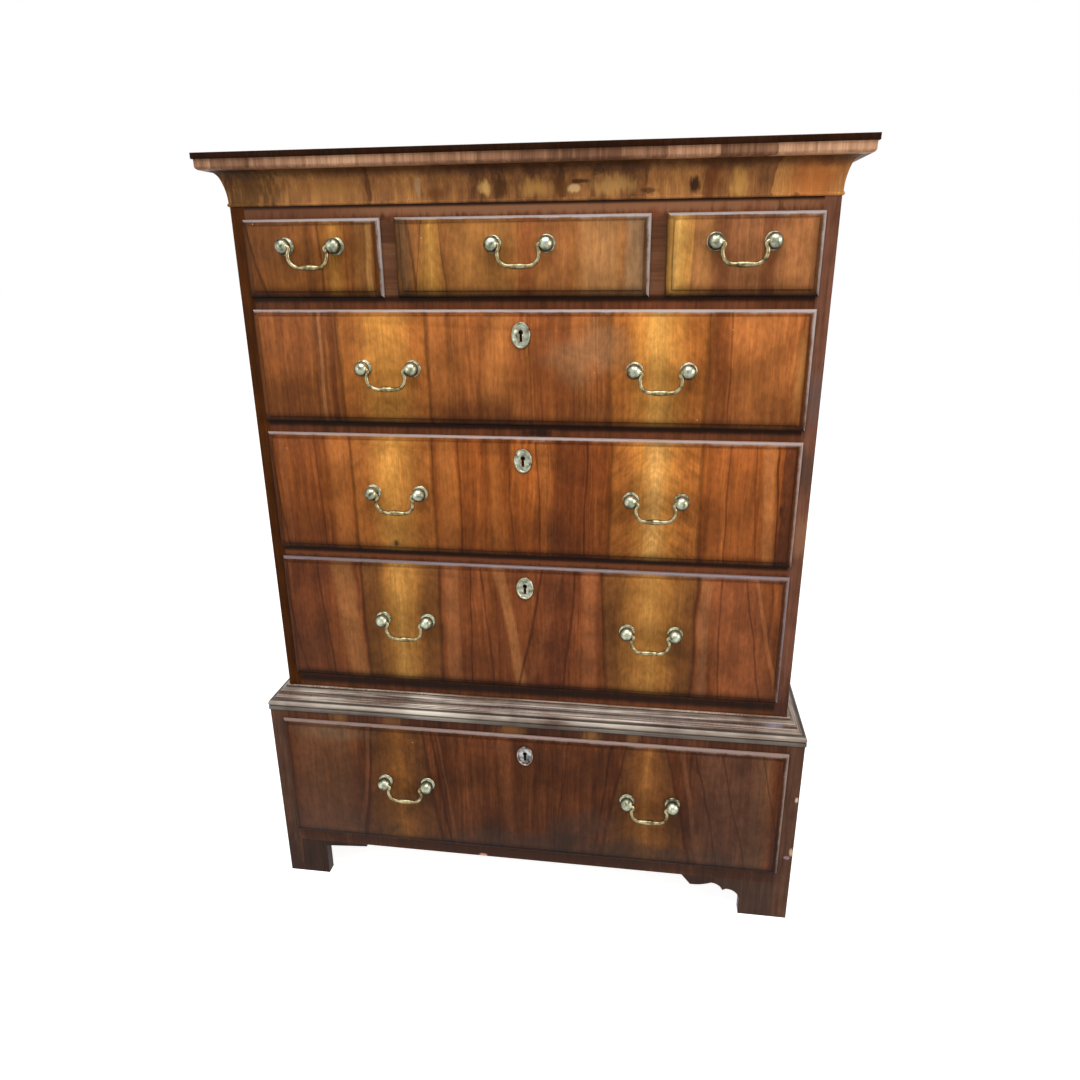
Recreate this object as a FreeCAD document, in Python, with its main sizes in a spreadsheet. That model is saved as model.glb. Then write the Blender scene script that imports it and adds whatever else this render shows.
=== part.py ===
import FreeCAD, Part
import math
import os
from types import SimpleNamespace

import Sketcher

# Veneered walnut chest of drawers on a one-drawer stand with bracket feet.
# Millimetres, +Z up, front towards -Y, origin on the floor under the middle of the whole piece.

# Driving dimensions, one row of the sheet each
SIZES = {
    # Chest case
    "chest_width": 1000.0,
    "chest_depth": 510.0,
    "chest_side": 25.0,
    "chest_top": 20.0,
    "chest_bottom": 20.0,
    "back_thick": 12.0,
    "back_gap": 1.0,
    "housing": 8.0,
    "rail_height": 28.5,
    "rail_depth": 70.0,
    "rail_tongue": 40.0,
    "rail_setback": 14.0,
    "facing_depth": 25.0,
    "facing_tongue": 9.0,
    "facing_setback": 8.0,
    "dust_thick": 12.0,
    "muntin_width": 34.0,
    "guide_height": 25.0,
    "plinth_height": 76.5,
    "lower_opening": 247.0,
    "middle_opening": 217.0,
    "upper_opening": 188.5,
    "short_opening": 118.5,
    "wide_short": 415.0,
    "frieze_height": 25.0,
    # Stand case
    "stand_proud": 33.0,
    "stand_side": 32.0,
    "foot_height": 85.0,
    "skirt_height": 32.5,
    "stand_opening": 268.0,
    "stand_rail": 22.5,
    "stand_top": 20.0,
    "stand_back": 15.0,
    "runner_width": 30.0,
    "runner_height": 20.0,
    # Bracket feet
    "bracket_thick": 22.0,
    "foot_width": 96.0,
    "ovolo_start": 38.0,
    "ovolo_run": 28.0,
    "ovolo_rise": 21.0,
    "ovolo_radius": 26.0,
    "cusp_run": 6.0,
    "cusp_drop": 4.0,
    "cove_run": 24.0,
    "cove_rise": 16.0,
    "cove_radius": 26.0,
    "lobe_run": 42.0,
    "lobe_drop": 8.0,
    "lobe_radius": 90.0,
    "tip_run": 18.0,
    "stub_foot": 88.0,
    "stub_run": 92.0,
    "stub_drop": 12.0,
    "stub_end": 5.0,
    "rear_foot": 62.0,
    "rear_run": 48.0,
    "rear_start": 30.0,
    "rear_radius": 60.0,
    "block_width": 28.0,
    "block_lift": 4.0,
    # Waist moulding, sizes measured out from the face of the chest
    "waist_fit": 0.5,
    "waist_lap": 2.0,
    "waist_fillet": 9.0,
    "waist_quirk": 1.5,
    "bead_height": 14.0,
    "bead_back": 2.0,
    "bead_radius": 9.0,
    "bead_quirk": 3.0,
    "slope_run": 11.0,
    "slope_rise": 11.5,
    "slope_radius": 20.0,
    "crest_run": 11.5,
    "crest_rise": 9.5,
    "crest_radius": 18.0,
    "waist_riser": 3.5,
    # Cornice
    "astragal_back": 1.2,
    "astragal_height": 6.0,
    "astragal_radius": 3.4,
    "astragal_fillet": 1.5,
    "hollow_run": 6.6,
    "hollow_rise": 35.5,
    "hollow_radius": 106.0,
    "flare_run": 12.2,
    "flare_rise": 12.0,
    "flare_radius": 20.0,
    "fascia_proud": 35.5,
    "fascia_round": 6.0,
    "fascia_height": 10.5,
    "slab_lap": 3.0,
    "slab_height": 9.5,
    # Drawers
    "lip_lap": 4.5,
    "lip_gap": 0.3,
    "lip_edge": 8.0,
    "lip_round": 6.0,
    "lip_margin": 8.0,
    "lip_proud": 10.0,
    "front_thick": 20.0,
    "side_gap": 1.0,
    "floor_gap": 0.3,
    "top_gap": 2.0,
    "rear_gap": 10.0,
    "drawer_side": 12.0,
    "drawer_back": 12.0,
    "drawer_bottom": 9.0,
    "bottom_lift": 8.0,
    "groove": 5.0,
    "back_drop": 6.0,
    "tail_length": 14.0,
    "tail_width": 30.0,
    "tail_flare": 3.0,
    "tail_pitch": 82.0,
    # Brass handles
    "post_spacing": 89.0,
    "handle_spread": 474.0,
    "stand_spread": 496.0,
    "short_rise": 20.0,
    "upper_rise": 0.0,
    "middle_rise": 5.0,
    "lower_rise": 8.5,
    "stand_rise": 11.5,
    "rosette_radius": 14.5,
    "rosette_rim": 1.5,
    "rosette_dome": 5.0,
    "neck_radius": 4.0,
    "pommel_offset": 18.0,
    "pommel_radius": 8.5,
    "shank_width": 6.0,
    "nut_width": 13.0,
    "nut_height": 4.0,
    "wire_radius": 2.9,
    "pin_depth": 5.0,
    "pin_gap": 0.1,
    "bail_drop": 39.0,
    "bail_width": 66.0,
    "bail_corner": 12.0,
    "neck_bend": 20.0,
    "neck_lean": 40.0,
    "neck_curl": 6.0,
    # Locks and escutcheons
    "key_drop": 41.5,
    "plate_width": 34.0,
    "plate_height": 44.0,
    "plate_thick": 1.4,
    "plate_rim": 3.5,
    "plate_rise": 1.6,
    "key_radius": 3.8,
    "key_slot": 3.0,
    "key_length": 11.0,
    "lock_width": 76.0,
    "lock_height": 56.0,
    "lock_thick": 12.0,
    "selvedge_width": 96.0,
    "selvedge_thick": 3.0,
    "bolt_width": 24.0,
    "bolt_thick": 6.0,
    "bolt_height": 22.0,
    "bolt_gap": 0.3,
    "mortise_gap": 1.5,
    "mortise_depth": 12.0,
}
BACK_BOARDS = 4
POST_SIDES = 10
OVAL_SIDES = 16
WIRE_SIDES = 6
CORNER_RUNS = 2
CURL_RUNS = 3
KEY_RUNS = 5
KEY_MOUTH = 36.0
POMMEL_FACET = 24.0
FULL_TURN = 360.0
HALF_TURN = 180.0
QUARTER_TURN = 90.0


class Size:
    """A length that keeps its expression, so that whatever uses it stays bound to the sheet."""

    def __init__(self, text, value):
        self.text = text
        self.value = value

    @staticmethod
    def of(other):
        if isinstance(other, Size):
            return other
        return Size(f"({float(other)})", float(other))

    def __add__(self, other):
        other = Size.of(other)
        return Size(f"({self.text} + {other.text})", self.value + other.value)

    def __sub__(self, other):
        other = Size.of(other)
        return Size(f"({self.text} - {other.text})", self.value - other.value)

    def __mul__(self, other):
        other = Size.of(other)
        return Size(f"({self.text} * {other.text})", self.value * other.value)

    def __truediv__(self, other):
        other = Size.of(other)
        return Size(f"({self.text} / {other.text})", self.value / other.value)

    def __neg__(self):
        return Size(f"(0 - {self.text})", -self.value)

    __radd__ = __add__
    __rmul__ = __mul__


def sine(angle):
    angle = Size.of(angle)
    return Size(f"sin({angle.text})", math.sin(math.radians(angle.value)))


def cosine(angle):
    angle = Size.of(angle)
    return Size(f"cos({angle.text})", math.cos(math.radians(angle.value)))


def leg(long_side, short_side):
    """Third side of a right triangle with the given hypotenuse."""
    square = long_side * long_side - short_side * short_side
    return Size(f"sqrt({square.text})", math.sqrt(square.value))


doc = FreeCAD.newDocument("chest_on_stand")
sheet = doc.addObject("Spreadsheet::Sheet", "Sizes")
for row, (alias, number) in enumerate(SIZES.items(), start=1):
    sheet.set(f"A{row}", alias)
    sheet.set(f"B{row}", str(number))
    sheet.setAlias(f"B{row}", alias)
doc.recompute()
dim = SimpleNamespace(**{alias: Size(f"Sizes.{alias}", float(sheet.get(alias))) for alias in SIZES})
zero = Size.of(0)
nodes = {}


# Tools that make bound objects
def keep(node, item):
    """Hand a finished object in as the named sub-part."""
    item.Label = node
    nodes[node] = item
    return item


def place(item, x, y, z, axis=None, angle=0.0):
    if axis:
        item.Placement.Rotation = FreeCAD.Rotation(FreeCAD.Vector(*axis), angle)
    for letter, size in zip("xyz", (x, y, z)):
        item.setExpression(f"Placement.Base.{letter}", Size.of(size).text)
    return item


def board(name, x, y, z):
    """A board between pairs of low and high coordinates."""
    box = doc.addObject("Part::Box", name)
    for side, (low, high) in zip(("Length", "Width", "Height"), (x, y, z)):
        box.setExpression(side, (Size.of(high) - low).text)
    return place(box, x[0], y[0], z[0])


def copy(name, source, x, y, z, axis=None, angle=0.0):
    link = doc.addObject("App::Link", name)
    link.LinkedObject = source
    return place(link, x, y, z, axis, angle)


def group(name, items):
    bundle = doc.addObject("Part::Compound", name)
    bundle.Links = list(items)
    return bundle


def cut(name, base, *tools):
    result = doc.addObject("Part::Cut", name)
    result.Base = base
    result.Tool = tools[0] if len(tools) == 1 else group(f"{name}_tools", tools)
    return result


def fuse(name, base, tool):
    result = doc.addObject("Part::Fuse", name)
    result.Base = base
    result.Tool = tool
    return result


def new_body(name):
    return doc.addObject("PartDesign::Body", name)


def new_sketch(body, plane, offset=None):
    sketch = body.newObject("Sketcher::SketchObject", f"{body.Name}_sketch")
    support = [part for part in body.Origin.OriginFeatures if part.Role == plane][0]
    sketch.AttachmentSupport = [(support, "")]
    sketch.MapMode = "FlatFace"
    if offset is not None:
        sketch.setExpression("AttachmentOffset.Base.z", offset.text)
    return sketch


def bow(start, end, radius):
    """The lesser arc between two points; it turns left for a positive radius, else right."""
    chord = end - start
    side = FreeCAD.Vector(-chord.y, chord.x, 0).normalize() * math.copysign(1.0, radius)
    reach = math.sqrt(max(radius * radius - chord.Length ** 2 / 4, 0.0))
    centre = (start + end) * 0.5 + side * reach
    first, last = (start, end) if radius > 0 else (end, start)
    angles = [math.atan2(point.y - centre.y, point.x - centre.x) for point in (first, last)]
    circle = Part.Circle(centre, FreeCAD.Vector(0, 0, 1), abs(radius))
    return Part.ArcOfCircle(circle, *angles)


def outline(body, plane, corners, closed=True, offset=None):
    """Sketch a path. A corner is (u, v), or (u, v, radius) where an arc leads to it."""
    sketch = new_sketch(body, plane, offset)
    corners = [tuple(Size.of(part) for part in corner) for corner in corners]
    points = [FreeCAD.Vector(corner[0].value, corner[1].value, 0) for corner in corners]
    count = len(corners)
    ends = []
    rules = []
    bound = []
    for number in range(count if closed else count - 1):
        after = (number + 1) % count
        if len(corners[after]) == 3:
            radius = corners[after][2]
            edge = sketch.addGeometry(bow(points[number], points[after], radius.value), False)
            ends.append((edge, 1, 2) if radius.value > 0 else (edge, 2, 1))
            size = radius if radius.value > 0 else -radius
            bound.append((len(rules), size))
            rules.append(Sketcher.Constraint("Radius", edge, size.value))
        else:
            edge = sketch.addGeometry(Part.LineSegment(points[number], points[after]), False)
            ends.append((edge, 1, 2))
    for (edge, _, tail), (follower, head, _) in zip(ends, ends[1:] + ends[:1] if closed else ends[1:]):
        rules.append(Sketcher.Constraint("Coincident", edge, tail, follower, head))
    spots = [(edge, head) for edge, head, _ in ends]
    if not closed:
        spots.append((ends[-1][0], ends[-1][2]))
    for (edge, spot), corner in zip(spots, corners):
        for kind, size in zip(("DistanceX", "DistanceY"), corner):
            bound.append((len(rules), size))
            rules.append(Sketcher.Constraint(kind, -1, 1, edge, spot, size.value))
    sketch.addConstraint(rules)
    for index, size in bound:
        sketch.setExpression(f"Constraints[{index}]", size.text)
    return sketch


def rectangle(body, plane, low, high, offset=None):
    corners = [(low[0], low[1]), (high[0], low[1]), (high[0], high[1]), (low[0], high[1])]
    return outline(body, plane, corners, offset=offset)


def add_feature(body, kind, profile):
    feature = body.newObject(f"PartDesign::{kind}", f"{body.Name}_{kind.lower()}")
    feature.Profile = profile
    body.Tip = feature
    return feature


def pad(body, profile, length, backwards=False):
    feature = add_feature(body, "Pad", profile)
    feature.setExpression("Length", length.text)
    feature.Reversed = backwards
    return feature


def pocket(body, profile, backwards=False):
    feature = add_feature(body, "Pocket", profile)
    feature.Type = "ThroughAll"
    feature.Reversed = backwards
    return feature


# Levels and planes
half_chest = dim.chest_width / 2
half_stand = half_chest + dim.stand_proud
half_inside = half_chest - dim.chest_side
half_stand_inside = half_stand - dim.stand_side
handle_reach = dim.pommel_offset + dim.pommel_radius
drawer_reach = dim.lip_gap + dim.lip_proud + handle_reach
face_y = (dim.stand_proud + drawer_reach - dim.chest_depth) / 2
stand_y = face_y - dim.stand_proud
back_y = face_y + dim.chest_depth

skirt_top = dim.foot_height + dim.skirt_height
stand_ceiling = skirt_top + dim.stand_opening
case_top = stand_ceiling + dim.stand_rail
lower_floor = case_top + dim.plinth_height
lower_ceiling = lower_floor + dim.lower_opening
middle_floor = lower_ceiling + dim.rail_height
middle_ceiling = middle_floor + dim.middle_opening
upper_floor = middle_ceiling + dim.rail_height
upper_ceiling = upper_floor + dim.upper_opening
short_floor = upper_ceiling + dim.rail_height
short_ceiling = short_floor + dim.short_opening
cornice_z = short_ceiling + dim.frieze_height
cove_top = dim.astragal_height + dim.astragal_fillet + dim.hollow_rise + dim.flare_rise
fascia_z = cornice_z + cove_top
fascia_top = dim.fascia_round + dim.fascia_height + dim.slab_height
chest_z = fascia_z + fascia_top
muntin_in = dim.wide_short / 2
muntin_out = muntin_in + dim.muntin_width
narrow_short = half_inside - muntin_out


# Mouldings
def moulding(name, corners, length, reach, near=False, far=False):
    """A length of moulding along X that faces +Y, mitred outwards at its near or far end."""
    body = new_body(name)
    start = -reach if near else zero
    run = length - start
    if far:
        run = run + reach
    pad(body, outline(body, "YZ_Plane", corners, offset=start), run)
    if near:
        mitre = [(zero, zero), (-reach, reach), (-reach, zero)]
        pocket(body, outline(body, "XY_Plane", mitre), backwards=True)
    if far:
        end = length + reach
        mitre = [(length, zero), (end, zero), (end, reach)]
        pocket(body, outline(body, "XY_Plane", mitre), backwards=True)
    return body


def mitred_set(node, corners, reach, z):
    """A front length and two returns round the chest, meeting in mitres."""
    up = (0, 0, 1)
    front = moulding(f"{node}_front", corners, dim.chest_width, reach, near=True, far=True)
    left = moulding(f"{node}_left", corners, dim.chest_depth, reach, near=True)
    right = moulding(f"{node}_right", corners, dim.chest_depth, reach, far=True)
    place(front, half_chest, face_y, z, up, HALF_TURN)
    place(left, -half_chest, face_y, z, up, QUARTER_TURN)
    place(right, half_chest, back_y, z, up, -QUARTER_TURN)
    return keep(node, group(f"{node}_set", (front, left, right)))


def waist_profile():
    fillet = dim.stand_proud + dim.waist_lap
    bead_low = fillet - dim.waist_quirk
    bead_high = bead_low - dim.bead_back
    bead_top = dim.waist_fillet + dim.bead_height
    slope = bead_high - dim.bead_quirk
    slope_end = slope - dim.slope_run
    slope_top = bead_top + dim.slope_rise
    crest = slope_end - dim.crest_run
    crest_top = slope_top + dim.crest_rise
    top = crest_top + dim.waist_riser
    return [
        (dim.waist_fit, zero),
        (fillet, zero),
        (fillet, dim.waist_fillet),
        (bead_low, dim.waist_fillet),
        (bead_high, bead_top, dim.bead_radius),
        (slope, bead_top),
        (slope_end, slope_top, -dim.slope_radius),
        (crest, crest_top, dim.crest_radius),
        (crest, top),
        (dim.waist_fit, top),
    ]


def cove_profile():
    start = dim.astragal_height + dim.astragal_fillet
    hollow = dim.astragal_back + dim.hollow_run
    flare = hollow + dim.flare_run
    return [
        (zero, zero),
        (dim.astragal_back, zero),
        (dim.astragal_back, dim.astragal_height, dim.astragal_radius),
        (dim.astragal_back, start),
        (hollow, start + dim.hollow_rise, -dim.hollow_radius),
        (flare, cove_top, -dim.flare_radius),
        (zero, cove_top),
    ]


def fascia_profile():
    slab = dim.fascia_proud + dim.slab_lap
    step = dim.fascia_round + dim.fascia_height
    return [
        (zero, zero),
        (dim.fascia_proud - dim.fascia_round, zero),
        (dim.fascia_proud, dim.fascia_round, dim.fascia_round),
        (dim.fascia_proud, step),
        (slab, step),
        (slab, fascia_top),
        (zero, fascia_top),
    ]


waist_reach = dim.stand_proud + dim.waist_lap + dim.bead_radius
mitred_set("waist_moulding", waist_profile(), waist_reach, case_top)
mitred_set("cornice_cove", cove_profile(), dim.fascia_proud, cornice_z)
mitred_set("cornice_fascia", fascia_profile(), dim.fascia_proud + dim.slab_lap, fascia_z)


# Rails with a tongue at each end that is let into the sides
def rail(name, half, y, z, depth, setback, tongue):
    body = new_body(name)
    out = half + dim.housing
    corners = []
    for side in (1, -1):
        corners += [
            (half * side, zero if side > 0 else depth),
            (half * side, setback if side > 0 else setback + tongue),
            (out * side, setback if side > 0 else setback + tongue),
            (out * side, setback + tongue if side > 0 else setback),
            (half * side, setback + tongue if side > 0 else setback),
            (half * side, depth if side > 0 else zero),
        ]
    pad(body, outline(body, "XY_Plane", corners), Size.of(z[1]) - z[0])
    return place(body, zero, y, z[0])


def deep_rail(name, half, y, z):
    return rail(name, half, y, z, dim.rail_depth, dim.rail_setback, dim.rail_tongue)


def facing_rail(name, z):
    return rail(name, half_inside, face_y, z, dim.facing_depth, dim.facing_setback, dim.facing_tongue)


# Brass posts and bails, each modelled once
def ring(radius, count):
    """Corners of a regular polygon round the origin, a flat side across +X."""
    turns = [FULL_TURN * (side + 0.5) / count for side in range(count)]
    return [(radius * cosine(turn), radius * sine(turn)) for turn in turns]


def bend(centre, radius, start, sweep, count):
    """Corners that follow a bend round a centre, the first one left out; positive sweeps turn left."""
    turns = [start + sweep * (step / count) for step in range(1, count + 1)]
    return [(centre[0] + radius * cosine(turn), centre[1] + radius * sine(turn)) for turn in turns]


def turned(name, stations):
    """A turning about +Y through (radius, height) stations, faceted by crossing its outline with itself."""
    body = new_body(name)
    reach = dim.rosette_radius * 2
    corners = [(radius, height) for radius, height in stations]
    corners += [(-radius, height) for radius, height in reversed(stations)]
    pad(body, outline(body, "XY_Plane", corners, offset=-reach), reach * 2)
    crossings = POST_SIDES // 2
    slabs = [body]
    for number in range(1, crossings):
        turn = HALF_TURN * number / crossings
        slabs.append(copy(f"{name}_{number}", body, zero, zero, zero, (0, 1, 0), turn))
    common = doc.addObject("Part::MultiCommon", f"{name}_facets")
    common.Shapes = slabs
    common.Refine = True
    return common


def make_post():
    """Rosette, neck and pommel standing along +Y, with a square shank and nut behind, bored towards +X."""
    ball_step = dim.pommel_radius * sine(POMMEL_FACET)
    ball_edge = dim.pommel_radius * cosine(POMMEL_FACET)
    stations = [
        (dim.rosette_radius, zero),
        (dim.rosette_radius, dim.rosette_rim),
        (dim.neck_radius, dim.rosette_dome),
        (dim.neck_radius, dim.pommel_offset - leg(dim.pommel_radius, dim.neck_radius)),
        (ball_edge, dim.pommel_offset - ball_step),
        (ball_edge, dim.pommel_offset + ball_step),
        (dim.neck_radius, handle_reach),
    ]
    body = new_body("post_fixing")
    through = dim.lip_proud + dim.front_thick
    half = dim.shank_width / 2
    shank = rectangle(body, "XZ_Plane", (-half, -half), (half, half), -dim.rosette_rim)
    pad(body, shank, through + dim.rosette_rim)
    half = dim.nut_width / 2
    nut = rectangle(body, "XZ_Plane", (-half, -half), (half, half), through)
    pad(body, nut, dim.nut_height)
    bore = new_body("post_bore")
    room = (dim.wire_radius + dim.pin_gap) / cosine(HALF_TURN / WIRE_SIDES)
    seat = outline(bore, "YZ_Plane", [(dim.pommel_offset + u, v) for u, v in ring(room, WIRE_SIDES)])
    pad(bore, seat, dim.pommel_radius)
    return cut("handle_post", fuse("handle_post_blank", turned("post_turning", stations), body), bore)


def make_bail():
    """Swan-neck bail, from the middle of its bar at the origin up to the pins in the pommels."""
    body = new_body("handle_bail")
    half_bar = dim.bail_width / 2
    lean = (cosine(dim.neck_lean), sine(dim.neck_lean))
    arm_top = dim.bail_drop - dim.neck_curl * (lean[1] + 1) - dim.neck_bend * lean[1]
    throat_u = half_bar - dim.neck_bend * (Size.of(1) - lean[0])
    throat_v = arm_top + dim.neck_bend * lean[1]
    curl_u = throat_u + dim.neck_curl * lean[0]
    curl_v = dim.bail_drop - dim.neck_curl
    pin_end = dim.post_spacing / 2 - dim.pommel_radius + dim.pin_depth
    low_centre = (half_bar - dim.bail_corner, dim.bail_corner)
    corners = [(zero, zero), (half_bar - dim.bail_corner, zero)]
    corners += bend(low_centre, dim.bail_corner, Size.of(-QUARTER_TURN), Size.of(QUARTER_TURN), CORNER_RUNS)
    corners += [(half_bar, arm_top), (throat_u, throat_v)]
    curl_start = dim.neck_lean + HALF_TURN
    corners += bend((curl_u, curl_v), dim.neck_curl, curl_start, -dim.neck_lean - QUARTER_TURN, CURL_RUNS)
    corners.append((pin_end, dim.bail_drop))
    spine = outline(body, "XZ_Plane", corners, closed=False)
    pipe = add_feature(body, "AdditivePipe", outline(body, "YZ_Plane", ring(dim.wire_radius, WIRE_SIDES)))
    pipe.Spine = (spine, [f"Edge{number}" for number in range(1, len(corners))])
    pipe.Transition = "Right corner"
    mirrored = body.newObject("PartDesign::Mirrored", "handle_bail_mirrored")
    mirrored.Originals = [pipe]
    mirrored.MirrorPlane = ([part for part in body.Origin.OriginFeatures if part.Role == "YZ_Plane"][0], [""])
    body.Tip = mirrored
    return body


def keyhole_corners():
    """A round with a slot hanging from it."""
    half = dim.key_slot / 2
    start = Size.of(KEY_MOUTH - QUARTER_TURN)
    sweep = Size.of(FULL_TURN - KEY_MOUTH * 2)
    round_part = bend((zero, zero), dim.key_radius, start, sweep, KEY_RUNS)
    level = dim.key_radius * sine(start)
    mouth = (dim.key_radius * cosine(start), level)
    slot = [(-half, level), (-half, -dim.key_length), (half, -dim.key_length), (half, level)]
    return [*slot, mouth, *round_part]


def make_keyhole():
    """The way for a key, from the field of a drawer's face to its lock."""
    body = new_body("keyhole")
    depth = dim.lip_proud + dim.front_thick - dim.lock_thick
    pad(body, outline(body, "XZ_Plane", keyhole_corners()), depth, backwards=True)
    return body


def oval(width, height):
    turns = [FULL_TURN * (side + 0.5) / OVAL_SIDES for side in range(OVAL_SIDES)]
    return [(width / 2 * cosine(turn), height / 2 * sine(turn)) for turn in turns]


def make_escutcheon():
    """An oval plate with a raised rim and a keyhole."""
    body = new_body("escutcheon")
    outer = oval(dim.plate_width, dim.plate_height)
    pad(body, outline(body, "XZ_Plane", outer), dim.plate_thick + dim.plate_rise)
    inner = oval(dim.plate_width - dim.plate_rim * 2, dim.plate_height - dim.plate_rim * 2)
    pocket(body, outline(body, "XZ_Plane", inner, offset=dim.plate_thick), backwards=True)
    pocket(body, outline(body, "XZ_Plane", keyhole_corners()), backwards=True)
    return body


post = make_post()
bail = make_bail()
key_way = make_keyhole()
plate = make_escutcheon()


# Drawers
def drawer_front(name, width, height):
    """A front with a thumbnail-moulded lip; its own origin is the low left corner of the lip's back."""
    body = new_body(f"{name}_front_board")
    high = (width + dim.lip_lap * 2, height + dim.lip_lap * 2)
    lip = pad(body, rectangle(body, "XZ_Plane", (zero, zero), high), dim.lip_edge)
    lip.recompute(True)
    rounded = body.newObject("PartDesign::Fillet", f"{name}_lip_round")
    front = [
        f"Edge{number}" for number, edge in enumerate(lip.Shape.Edges, start=1)
        if edge.BoundBox.YMax < -dim.lip_edge.value / 2
    ]
    rounded.Base = (lip, front)
    rounded.setExpression("Radius", dim.lip_round.text)
    body.Tip = rounded
    margin = dim.lip_margin
    field = rectangle(body, "XZ_Plane", (margin, margin), (high[0] - margin, high[1] - margin))
    pad(body, field, dim.lip_proud)
    inset = dim.lip_lap + dim.side_gap
    low = (inset, dim.lip_lap + dim.floor_gap)
    block = rectangle(body, "XZ_Plane", low, (high[0] - inset, high[1] - dim.lip_lap - dim.top_gap))
    pad(body, block, dim.front_thick, backwards=True)
    return body


def tails(shoulder, tip, low, high, upwards):
    """Corners of a row of dovetails between two heights, along a board's end."""
    count = max(2, round((high.value - low.value) / dim.tail_pitch.value))
    pitch = (high - low) / count
    corners = []
    for number in range(count) if upwards else reversed(range(count)):
        middle = low + pitch * (number + 0.5)
        wide = dim.tail_width / 2
        narrow = wide - dim.tail_flare
        row = [
            (shoulder, middle - narrow),
            (tip, middle - wide),
            (tip, middle + wide),
            (shoulder, middle + narrow),
        ]
        corners += row if upwards else row[::-1]
    return corners


def drawer_side(name, length, height):
    """A side with half-blind tails in front and through tails behind, drawn from the front tails' tips."""
    body = new_body(f"{name}_side")
    front = dim.tail_length
    rear = front + length
    panel_top = dim.bottom_lift + dim.drawer_bottom
    corners = [(front, zero), (rear, zero)]
    corners += tails(rear, rear + dim.drawer_back, panel_top, height - dim.back_drop, True)
    corners += [(rear, height), (front, height)]
    corners += tails(front, zero, zero, height, False)
    pad(body, outline(body, "YZ_Plane", corners), dim.drawer_side)
    return body


def drawer_lock(name, x, y, z):
    """A lock with its inner face at y and its top at z; returns its outside and the bolt's mortise above."""
    half = dim.lock_width / 2
    half_selvedge = dim.selvedge_width / 2
    half_bolt = dim.bolt_width / 2
    depth = (y - dim.lock_thick, y)
    case = board(f"{name}_case", (x - half, x + half), depth, (z - dim.lock_height, z))
    selvedge = board(
        f"{name}_selvedge", (x - half_selvedge, x + half_selvedge), depth, (z - dim.selvedge_thick, z)
    )
    middle = y - dim.lock_thick / 2
    thick = (middle - dim.bolt_thick / 2, middle + dim.bolt_thick / 2)
    gap = dim.bolt_gap
    low = z - gap - dim.bolt_height
    way = board(
        f"{name}_way",
        (x - half_bolt - gap, x + half_bolt + gap),
        (thick[0] - gap, thick[1] + gap),
        (low - gap, z),
    )
    bolt = board(f"{name}_bolt_bar", (x - half_bolt, x + half_bolt), thick, (low, z - gap))
    blank = fuse(f"{name}_lock_blank", case, selvedge)
    keep(f"{name}_lock", cut(f"{name}_lock_cut", blank, way))
    keep(f"{name}_lock_bolt", bolt)
    room = dim.mortise_gap
    ceiling = z + dim.top_gap
    mortise = board(
        f"{name}_mortise",
        (x - half_bolt - room, x + half_bolt + room),
        (thick[0] - room, thick[1] + room),
        (ceiling, ceiling + dim.mortise_depth),
    )
    return blank, mortise


def drawer(name, x, z, face, rear, handles, rise, keyed):
    """A lipped, dovetailed drawer in an opening; returns the mortise that its lock needs above it."""
    width = x[1] - x[0]
    height = z[1] - z[0]
    middle = (x[0] + x[1]) / 2
    lip_y = face - dim.lip_gap
    field_y = lip_y - dim.lip_proud
    inside_y = lip_y + dim.front_thick
    low = z[0] + dim.floor_gap
    high = z[1] - dim.top_gap
    left = x[0] + dim.side_gap
    right = x[1] - dim.side_gap
    front = place(drawer_front(name, width, height), x[0] - dim.lip_lap, lip_y, z[0] - dim.lip_lap)

    shoulder = rear - dim.drawer_back
    side = drawer_side(name, shoulder - inside_y, high - low)
    tips = inside_y - dim.tail_length
    place(side, left, tips, low)
    other = copy(f"{name}_side_right", side, right - dim.drawer_side, tips, low)
    panel = (low + dim.bottom_lift, low + dim.bottom_lift + dim.drawer_bottom)
    edge = dim.drawer_side - dim.groove
    bottom = board(f"{name}_bottom", (left + edge, right - edge), (inside_y - dim.groove, rear), panel)
    end = board(f"{name}_back", (left, right), (shoulder, rear), (panel[1], high - dim.back_drop))
    grooved = [cut(f"{name}_left_grooved", side, bottom), cut(f"{name}_right_grooved", other, bottom)]
    pinned = cut(f"{name}_back_pinned", end, *grooved)
    keep(f"{name}_drawer_box", group(f"{name}_box_pieces", [*grooved, pinned, bottom]))

    pivot_z = (z[0] + z[1]) / 2 + rise
    half_span = dim.post_spacing / 2
    bail_y = field_y - dim.pommel_offset
    bail_z = pivot_z - dim.bail_drop
    half = dim.shank_width / 2
    brasses = []
    ways = []
    for tag, offset in handles:
        centre = middle + offset
        for end, spot, axis in (("a", centre - half_span, (1, 0, 0)), ("b", centre + half_span, (0, 0, 1))):
            brasses.append(copy(f"{name}_{tag}post_{end}", post, spot, field_y, pivot_z, axis, HALF_TURN))
            hole_x = (spot - half, spot + half)
            hole_z = (pivot_z - half, pivot_z + half)
            ways.append(board(f"{name}_{tag}way_{end}", hole_x, (field_y, inside_y), hole_z))
        keep(f"{name}_{tag}bail", copy(f"{name}_{tag}bail_copy", bail, centre, bail_y, bail_z))
    tools = [*grooved, bottom, *ways]
    mortise = None
    if keyed:
        key_z = z[1] + dim.lip_lap - dim.key_drop
        brasses.append(copy(f"{name}_escutcheon", plate, middle, field_y, key_z))
        lock_blank, mortise = drawer_lock(name, middle, inside_y, high)
        tools += [copy(f"{name}_keyhole", key_way, middle, field_y, key_z), lock_blank]
    keep(f"{name}_drawer_front", cut(f"{name}_front_cut", front, *tools))
    keep(f"{name}_brasses", group(f"{name}_brass_pieces", brasses))
    return mortise


def pair(spread):
    return [("left_", -spread / 2), ("right_", spread / 2)]


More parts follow.
